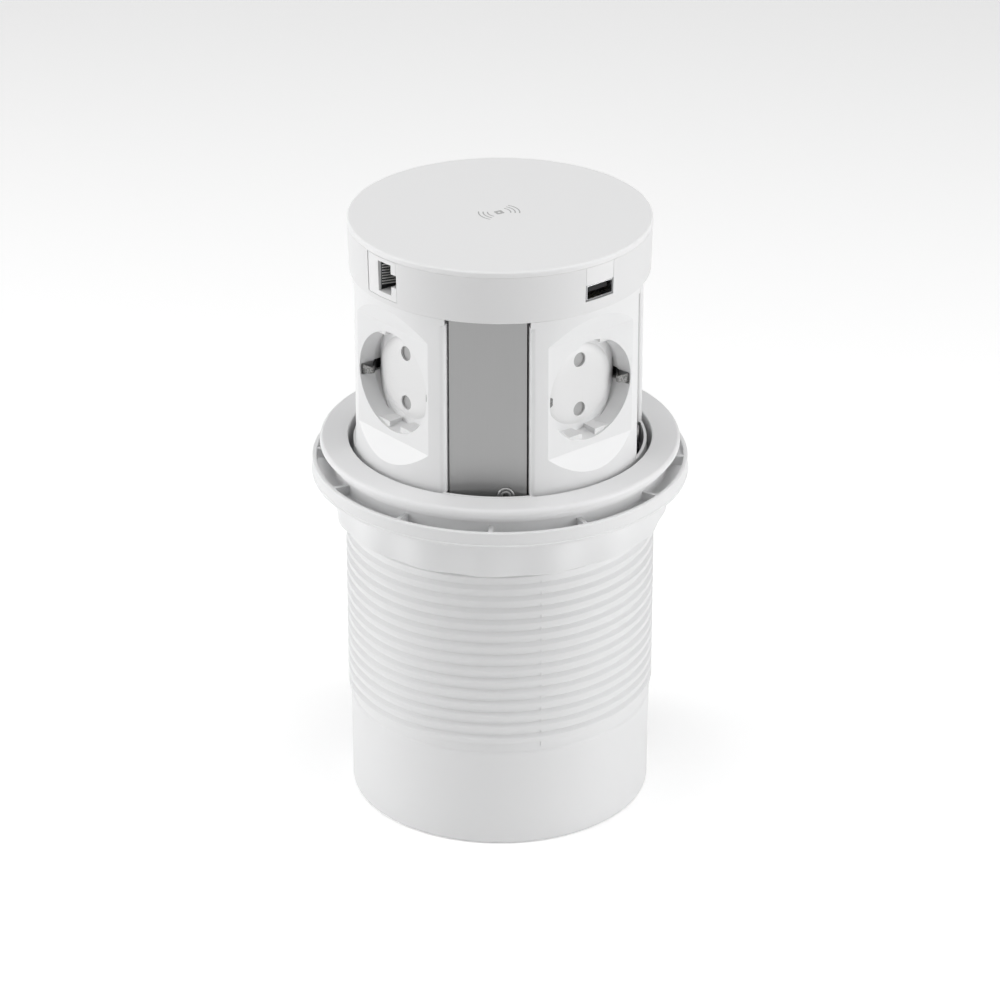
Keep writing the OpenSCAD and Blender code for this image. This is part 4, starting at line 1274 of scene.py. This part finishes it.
@dataclass
class CornerStrips:
    """Aluminium strips between the panels, with their screws."""

    face_d: float = 49.4
    width: float = 27.4
    thick: float = 1.6
    web: float = 5.0
    web_y: Point2 = (1.7, 3.1)
    low_z: float = 104.0
    high_z: float = 206.7
    screw_y: float = 6.4
    screw_z: float = 139.4

    def build(self) -> None:
        """Builds the four strips and one piece of screws."""
        columns = (Body.COLUMN,) * len(STRIP_BEARINGS)
        self._strip().around("strip", "corner_strip", columns, Slot.ALUMINIUM, STRIP_BEARINGS)
        screws = Solid()
        for bearing in STRIP_BEARINGS:
            screws.with_loose(self._screw().turn(bearing))
        satin = Metal("screw_satin", (0.30, 0.30, 0.30), 0.55)
        screws.piece("strip_screw_heads", Body.COLUMN, Slot.STEEL, ["strip_screws"], satin)

    def _strip(self) -> Solid:
        """Makes one strip at bearing 0.

        Returns:
            The strip.
        """
        half = self.width / 2
        back, web = self.face_d - self.thick, self.face_d - self.web
        outline = [(back, -half), (self.face_d, -half), (self.face_d, half), (back, half)]
        near, far = (half - offset for offset in self.web_y)
        for first, second in ((near, far), (-far, -near)):
            outline += [(back, first), (web, first), (web, second), (back, second)]
        strip = Solid.extruded(outline, self.high_z - self.low_z).shift(0, 0, self.low_z)
        hole = Solid.rod(1.7, self.face_d - 6.0, self.face_d + 1.0, 32)
        strip.less(hole.outwards(self.screw_z, self.screw_y))
        return strip.softened(0.15, 30.0, 2)

    def _screw(self) -> Solid:
        """Makes one low flat-headed screw with a hexagon socket at bearing 0.

        Returns:
            The screw.
        """
        top = self.face_d + 0.75
        profile = (
            (0.0, -4.5), (1.3, -4.5), (1.6, -4.1), (1.6, -0.05), (2.75, -0.05), (3.05, 0.25),
            (3.05, 0.45), (2.75, 0.75), (2.1, 0.75), (2.0, 0.53), (1.8, 0.53), (1.7, 0.75),
            (0.0, 0.75),
        )
        screw = Solid.turned([(radius, self.face_d + out) for radius, out in profile], 48)
        recess = Solid.rod(1.25, self.face_d - 1.4, top + 1.0, 6)
        screw.less(recess).softened(0.06, 50.0, 1)
        return screw.outwards(self.screw_z, self.screw_y)


@dataclass
class Cap:
    """Cap on top of the column: rim, lid, pictogram, USB socket and network jack."""

    top_r: float = 54.5
    low_r: float = 54.0
    low_z: float = 206.8
    seat_z: float = 224.5
    top_z: float = 226.68
    wall: float = 2.4
    usb_w: float = 12.6
    usb_z: Point2 = (211.8, 224.3)
    usb_slot_z: Point2 = (212.0, 217.6)
    jack_w: float = 15.2
    jack_z: Point2 = (209.2, 224.2)
    jack_slot_w: float = 6.7
    jack_slot_z: Point2 = (211.3, 222.7)
    jack_slot_y: float = 1.8
    jack_key_w: float = 2.5
    jack_key_z: Point2 = (214.6, 219.4)
    port_depth: float = 14.0
    face_t: float = 4.6
    seat_r: float = 36.0
    seat_low_z: float = 209.0
    groove: Point2 = (52.7, 0.28)
    room_r: Point2 = (46.5, 53.9)
    room_half: float = 9.0
    shell_half: float = 6.05
    tongue_half: float = 5.1
    usb_contacts: tuple[float, ...] = (-3.5, -1.0, 1.0, 3.5)
    wires: int = 8
    wire_pitch: float = 1.02
    wave_r: tuple[float, ...] = (3.9, 5.5, 7.1)
    wave_t: float = 0.45
    wave_angle: float = 70.0
    chip_half: float = 1.5
    chip_hole: float = 0.45
    ink_t: float = 0.02
    sign_bearing: float = 79.4

    def build(self) -> None:
        """Builds the cap's pieces."""
        self._rim()
        self._lid()
        self._pictogram()
        self._usb()
        self._jack()

    def _rim(self) -> None:
        """Builds the rim with its two windows."""
        groove_r, groove_z = self.groove[0], self.low_z + self.groove[1]
        wall = self.top_r - self.wall
        section = filleted([
            (self.seat_r, self.low_z), (groove_r, self.low_z), (groove_r, groove_z),
            (self.low_r, groove_z, 0.25), (self.top_r, self.seat_z, 0.2), (wall, self.seat_z),
            (wall, self.seat_low_z, 0.4), (self.seat_r, self.seat_low_z),
        ], 4)
        rim = Solid.turned(section)
        half, usb_half = self.jack_w / 2, self.usb_w / 2
        jack_z = (self.jack_z[0] - 0.1, self.jack_z[1] + 0.1)
        rim.less(
            self._window(USB_BEARING, usb_half + 0.1, (self.usb_z[0] - 0.25, 240.0)),
            self._window(JACK_BEARING, half + 0.1, jack_z),
            self._window(JACK_BEARING, 0.4, jack_z, -half - 0.15),
        )
        rim.softened(0.12, 50.0, 2)
        # Painted shade: the rim wears a darker copy of the cap's plastic, 0.77 against the lid's
        # 0.82.
        drum = Moulded("painted_shade_drum_plastic", (0.77, 0.77, 0.772), 0.48, 0.25, 0.012, 0.01)
        rim.piece("cap_drum", Body.COLUMN, Slot.CAP, ["cap_rim"], drum)

    def _window(self, bearing: float, half: float, z: Point2, middle: float = 0.0) -> Solid:
        """Makes a window's space in the wall, from half its width, its heights and side offset."""
        low, high = (self.top_r - 8.0, middle - half, z[0]), (self.top_r + 6.0, middle + half, z[1])
        return Solid.block(low, high).turn(bearing)

    def _lid(self) -> None:
        """Builds the lid with its soft edge and locating ring."""
        ring = self.top_r - self.wall - 0.1
        section = filleted([
            (0.0, self.seat_z), (ring - 1.5, self.seat_z), (ring - 1.5, self.seat_z - 1.6, 0.2),
            (ring, self.seat_z - 1.6, 0.3), (ring, self.seat_z), (self.top_r, self.seat_z, 0.2),
            (self.top_r, self.top_z, 0.85), (0.0, self.top_z),
        ], 6)
        lid = Solid.turned(section)
        for bearing in (USB_BEARING, JACK_BEARING):
            room = Solid.block(
                (self.room_r[0], -self.room_half, self.seat_z - 3.0),
                (self.room_r[1], self.room_half, self.seat_z),
            )
            lid.less(room.turn(bearing))
        lid.piece("lid_disc", Body.COLUMN, Slot.CAP, ["cap_lid"])

    def _pictogram(self) -> None:
        """Builds the printed sign of waves at the lid's centre."""
        ink = Moulded("printed_grey", (0.40, 0.40, 0.40), 0.5, 0.2, 0.004, 0.05)
        sign = Solid()
        low, high = self.top_z, self.top_z + self.ink_t
        for radius in self.wave_r:
            outer = radius + self.wave_t
            section = [(radius, low), (outer, low), (outer, high), (radius, high)]
            for side in (0.0, 180.0):
                begin = side - self.wave_angle / 2
                sign.with_loose(Solid.turned(section, 24, self.wave_angle, begin))
        half, hole = self.chip_half, self.chip_hole
        corners = ((-half, -half), (half, -half), (half, half), (-half, half))
        outline = filleted([(*corner, 0.4) for corner in corners])
        plate = Solid.extruded(outline, high - low).shift(0, 0, low)
        plate.less(Solid.block((-hole, -hole, low - 1.0), (hole, hole, high + 1.0)))
        sign.with_loose(plate).turn(self.sign_bearing).shift(-0.7, 0.2, 0.0)
        sign.piece("lid_pictogram", Body.COLUMN, Slot.CAP, finish=ink)

    def _skin(self) -> Solid:
        """Makes the ring in which flush faces of the ports lie.

        Returns:
            The ring.
        """
        inner = self.top_r - self.face_t
        section = [(inner, self.low_z), (self.low_r, self.low_z), (self.top_r, self.seat_z)]
        return Solid.turned(section + [(inner, self.seat_z)])

    def _usb(self) -> None:
        """Builds the USB socket."""
        low, high = self.usb_slot_z
        window = self._window(USB_BEARING, self.usb_w / 2, (high + 0.1, self.seat_z - 0.02))
        plate = self._skin().within(window)
        plate.softened(0.12, 50.0, 2).piece("usb_plate", Body.COLUMN, Slot.CAP, ["usb_face"])
        back, front = self.top_r - self.port_depth, self.top_r - 0.55
        half = self.shell_half
        shell = Solid.block((back, -half, low), (front, half, high)).softened(0.5, 60.0, 3)
        hollow = Solid.block(
            (back + 0.5, -half + 0.4, low + 0.4), (front + 2.0, half - 0.4, high - 0.4)
        )
        shell.less(hollow.softened(0.25, 60.0, 2)).softened(0.06, 60.0, 1)
        shell.piece("usb_shell_metal", Body.COLUMN, Slot.STEEL, ["usb_shell"])
        middle = (low + high) / 2
        tongue = Solid.block(
            (back + 2.0, -self.tongue_half, middle - 0.65),
            (self.top_r - 2.4, self.tongue_half, middle + 1.15),
        ).softened(0.25, 60.0, 2)
        root = Solid.block((back + 0.6, -5.6, middle - 2.2), (back + 2.2, 5.6, middle + 2.2))
        tongue.with_loose(root).piece("usb_tongue_black", Body.COLUMN, Slot.BLACK, ["usb_tongue"])
        strips = Solid()
        for offset in self.usb_contacts:
            strips.with_loose(Solid.block(
                (back + 2.4, offset - 0.5, middle - 0.75),
                (self.top_r - 3.2, offset + 0.5, middle - 0.62),
            ))
        strips.piece("usb_strips", Body.COLUMN, Slot.BRASS)

    def _jack(self) -> None:
        """Builds the network jack."""
        low, high = self.jack_slot_z
        back = self.top_r - self.port_depth
        body = self._skin().within(self._window(JACK_BEARING, self.jack_w / 2, self.jack_z))
        rear = Solid.block(
            (back - 3.0, -self.jack_w / 2 + 0.5, self.jack_z[0] + 0.5),
            (self.top_r - 4.0, self.jack_w / 2 - 0.5, self.jack_z[1] - 0.5),
        ).turn(JACK_BEARING)
        left = self.jack_slot_y - self.jack_slot_w / 2
        right = self.jack_slot_y + self.jack_slot_w / 2
        slot = Solid.block((back, left, low), (self.top_r + 1.0, right, high))
        key = Solid.block(
            (back + 4.0, right - 0.01, self.jack_key_z[0]),
            (self.top_r + 4.0, right + self.jack_key_w, self.jack_key_z[1]),
        )
        body.plus(rear).less(slot.turn(JACK_BEARING), key.turn(JACK_BEARING))
        body.softened(0.12, 50.0, 2).piece("jack_module", Body.COLUMN, Slot.CAP, ["jack_body"])
        # Painted shade: a thin black sheet lines the contact slot, whose inside lies in shade.
        shade_sheet = Solid.block(
            (back + 0.02, left + 0.02, low + 0.02), (self.top_r - 1.5, right - 0.02, high - 0.02)
        )
        shade_sheet.less(Solid.block(
            (back + 0.4, left + 0.15, low - 1.0), (self.top_r, right + 1.0, high + 1.0)
        ))
        shade_sheet.turn(JACK_BEARING).piece("jack_slot_painted_shade", Body.COLUMN, Slot.BLACK)
        outline = [
            (back + 0.6, left + 0.2), (self.top_r - 1.7, left + 0.2),
            (self.top_r - 2.1, left + 0.5), (back + 2.0, self.jack_slot_y + 0.6),
            (back + 1.4, self.jack_slot_y + 0.2),
        ]
        wires = Solid()
        for index in range(self.wires):
            z = (low + high) / 2 + (index - (self.wires - 1) / 2) * self.wire_pitch
            wires.with_loose(Solid.extruded(outline, 0.4).shift(0, 0, z - 0.2))
        dull = Metal("contact_metal", (0.50, 0.50, 0.49), 0.4)
        wires.turn(JACK_BEARING)
        wires.piece("jack_wires", Body.COLUMN, Slot.BRASS, ["jack_contacts"], dull)


class InnerParts:
    """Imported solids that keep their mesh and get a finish."""

    def dress(self) -> None:
        """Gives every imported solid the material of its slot."""
        slots = {row["node"]: Slot(row["material_slot"]) for row in frame["record"]["subparts"]}
        for name, made in frame["nodes"].items():
            made.data.materials.clear()
            made.data.materials.append(PALETTE.of(slots[name]))
        LOG.info("%d packed solids dressed", len(slots))


@dataclass(frozen=True)
class Lamp:
    """A square soft lamp: bearing from the camera's own, sizes in metres, power in watts."""

    name: str
    bearing: float
    elevation: float
    distance: float
    size: float
    power: float


@dataclass
class Studio:
    """Pale floor, soft lamps and the photograph's camera."""

    camera_bearing: float = -40.1
    camera_elevation: float = 25.84
    camera_distance: float = 1.6065
    aim_z: float = 0.1134
    lens: float = 157.8
    sensor: float = 36.0
    world: float = 0.12
    floor_glow: float = 0.3
    floor_half: float = 6.0
    lamps: tuple[Lamp, ...] = (
        Lamp("left_softbox", -82.0, 14.0, 1.3, 1.0, 11.3),
        Lamp("right_softbox", 66.0, 14.0, 1.3, 1.0, 10.7),
        Lamp("top_softbox", 0.0, 87.0, 1.4, 1.0, 10.8),
    )

    def build(self) -> None:
        """Builds floor, lamps, world and camera."""
        self._floor()
        self._world()
        for lamp in self.lamps:
            self._lamp(lamp)
        self._camera()

    def _spot(self, bearing: float, elevation: float, distance: float) -> Vector:
        """Finds a point round the aim.

        Args:
            bearing: Direction from the camera's own, to the picture's right.
            elevation: Angle above the horizon.
            distance: Distance from the aim in metres.

        Returns:
            The point.
        """
        turn, lift = math.radians(self.camera_bearing + bearing), math.radians(elevation)
        flat, rise = math.cos(lift) * distance, math.sin(lift) * distance
        return Vector((math.cos(turn) * flat, math.sin(turn) * flat, self.aim_z + rise))

    def _aim(self, made: bpy.types.Object) -> None:
        """Turns a lamp or the camera towards the aim."""
        way = Vector((0.0, 0.0, self.aim_z)) - made.location
        made.rotation_euler = way.to_track_quat("-Z", "Y").to_euler()

    def _lamp(self, lamp: Lamp) -> None:
        """Adds a soft lamp that looks at the aim.

        Args:
            lamp: Its place, size and power.
        """
        light = bpy.data.lights.new(lamp.name, "AREA")
        light.size = lamp.size
        light.energy = lamp.power
        made = linked(lamp.name, light)
        made.location = self._spot(lamp.bearing, lamp.elevation, lamp.distance)
        self._aim(made)

    def _camera(self) -> None:
        """Sets the camera at the photograph's place."""
        lens = bpy.data.cameras.new("camera")
        lens.lens = self.lens
        lens.sensor_width = self.sensor
        made = linked("camera", lens)
        made.location = self._spot(0.0, self.camera_elevation, self.camera_distance)
        self._aim(made)
        bpy.context.scene.camera = made

    def _world(self) -> None:
        """Lights the scene evenly and shows white to the camera and to gloss."""
        world = bpy.data.worlds.new("studio")
        bpy.context.scene.world = world
        world.use_nodes = True
        graph = Graph(world.node_tree)
        strength = graph.seen() * (1.0 - self.world) + self.world
        inputs = {"Color": (1.0, 1.0, 1.0, 1.0), "Strength": strength}
        back = graph.node("ShaderNodeBackground", None, inputs)
        graph.node("ShaderNodeOutputWorld", None, {"Surface": back})

    def _floor(self) -> None:
        """Lays the white floor, which keeps the object's shadow."""
        bm = bmesh.new()
        bmesh.ops.create_grid(bm, x_segments=1, y_segments=1, size=self.floor_half)
        mesh = bpy.data.meshes.new("floor")
        bm.to_mesh(mesh)
        bm.free()
        graph = Surface("floor_paper")
        graph.wear(
            base_color=graph.blend(graph.noise(700.0), (0.93, 0.93, 0.93), (0.95, 0.95, 0.95)),
            roughness=0.9,
            emission_color=(1.0, 1.0, 1.0, 1.0),
            emission_strength=graph.seen() * self.floor_glow,
        )
        mesh.materials.append(graph.material)
        linked("floor", mesh)


def main() -> None:
    """Builds the scene."""
    logging.basicConfig(level=logging.INFO, format="%(name)s %(message)s")
    InnerParts().dress()
    for part in (Sleeve(), TrimCollar(), RingNut(), SocketFace(), CornerStrips(), Cap(), Studio()):
        part.build()
        LOG.info("%s done", type(part).__name__)
    bpy.context.scene.view_settings.view_transform = "Standard"


if __name__ == "__main__":
    main()
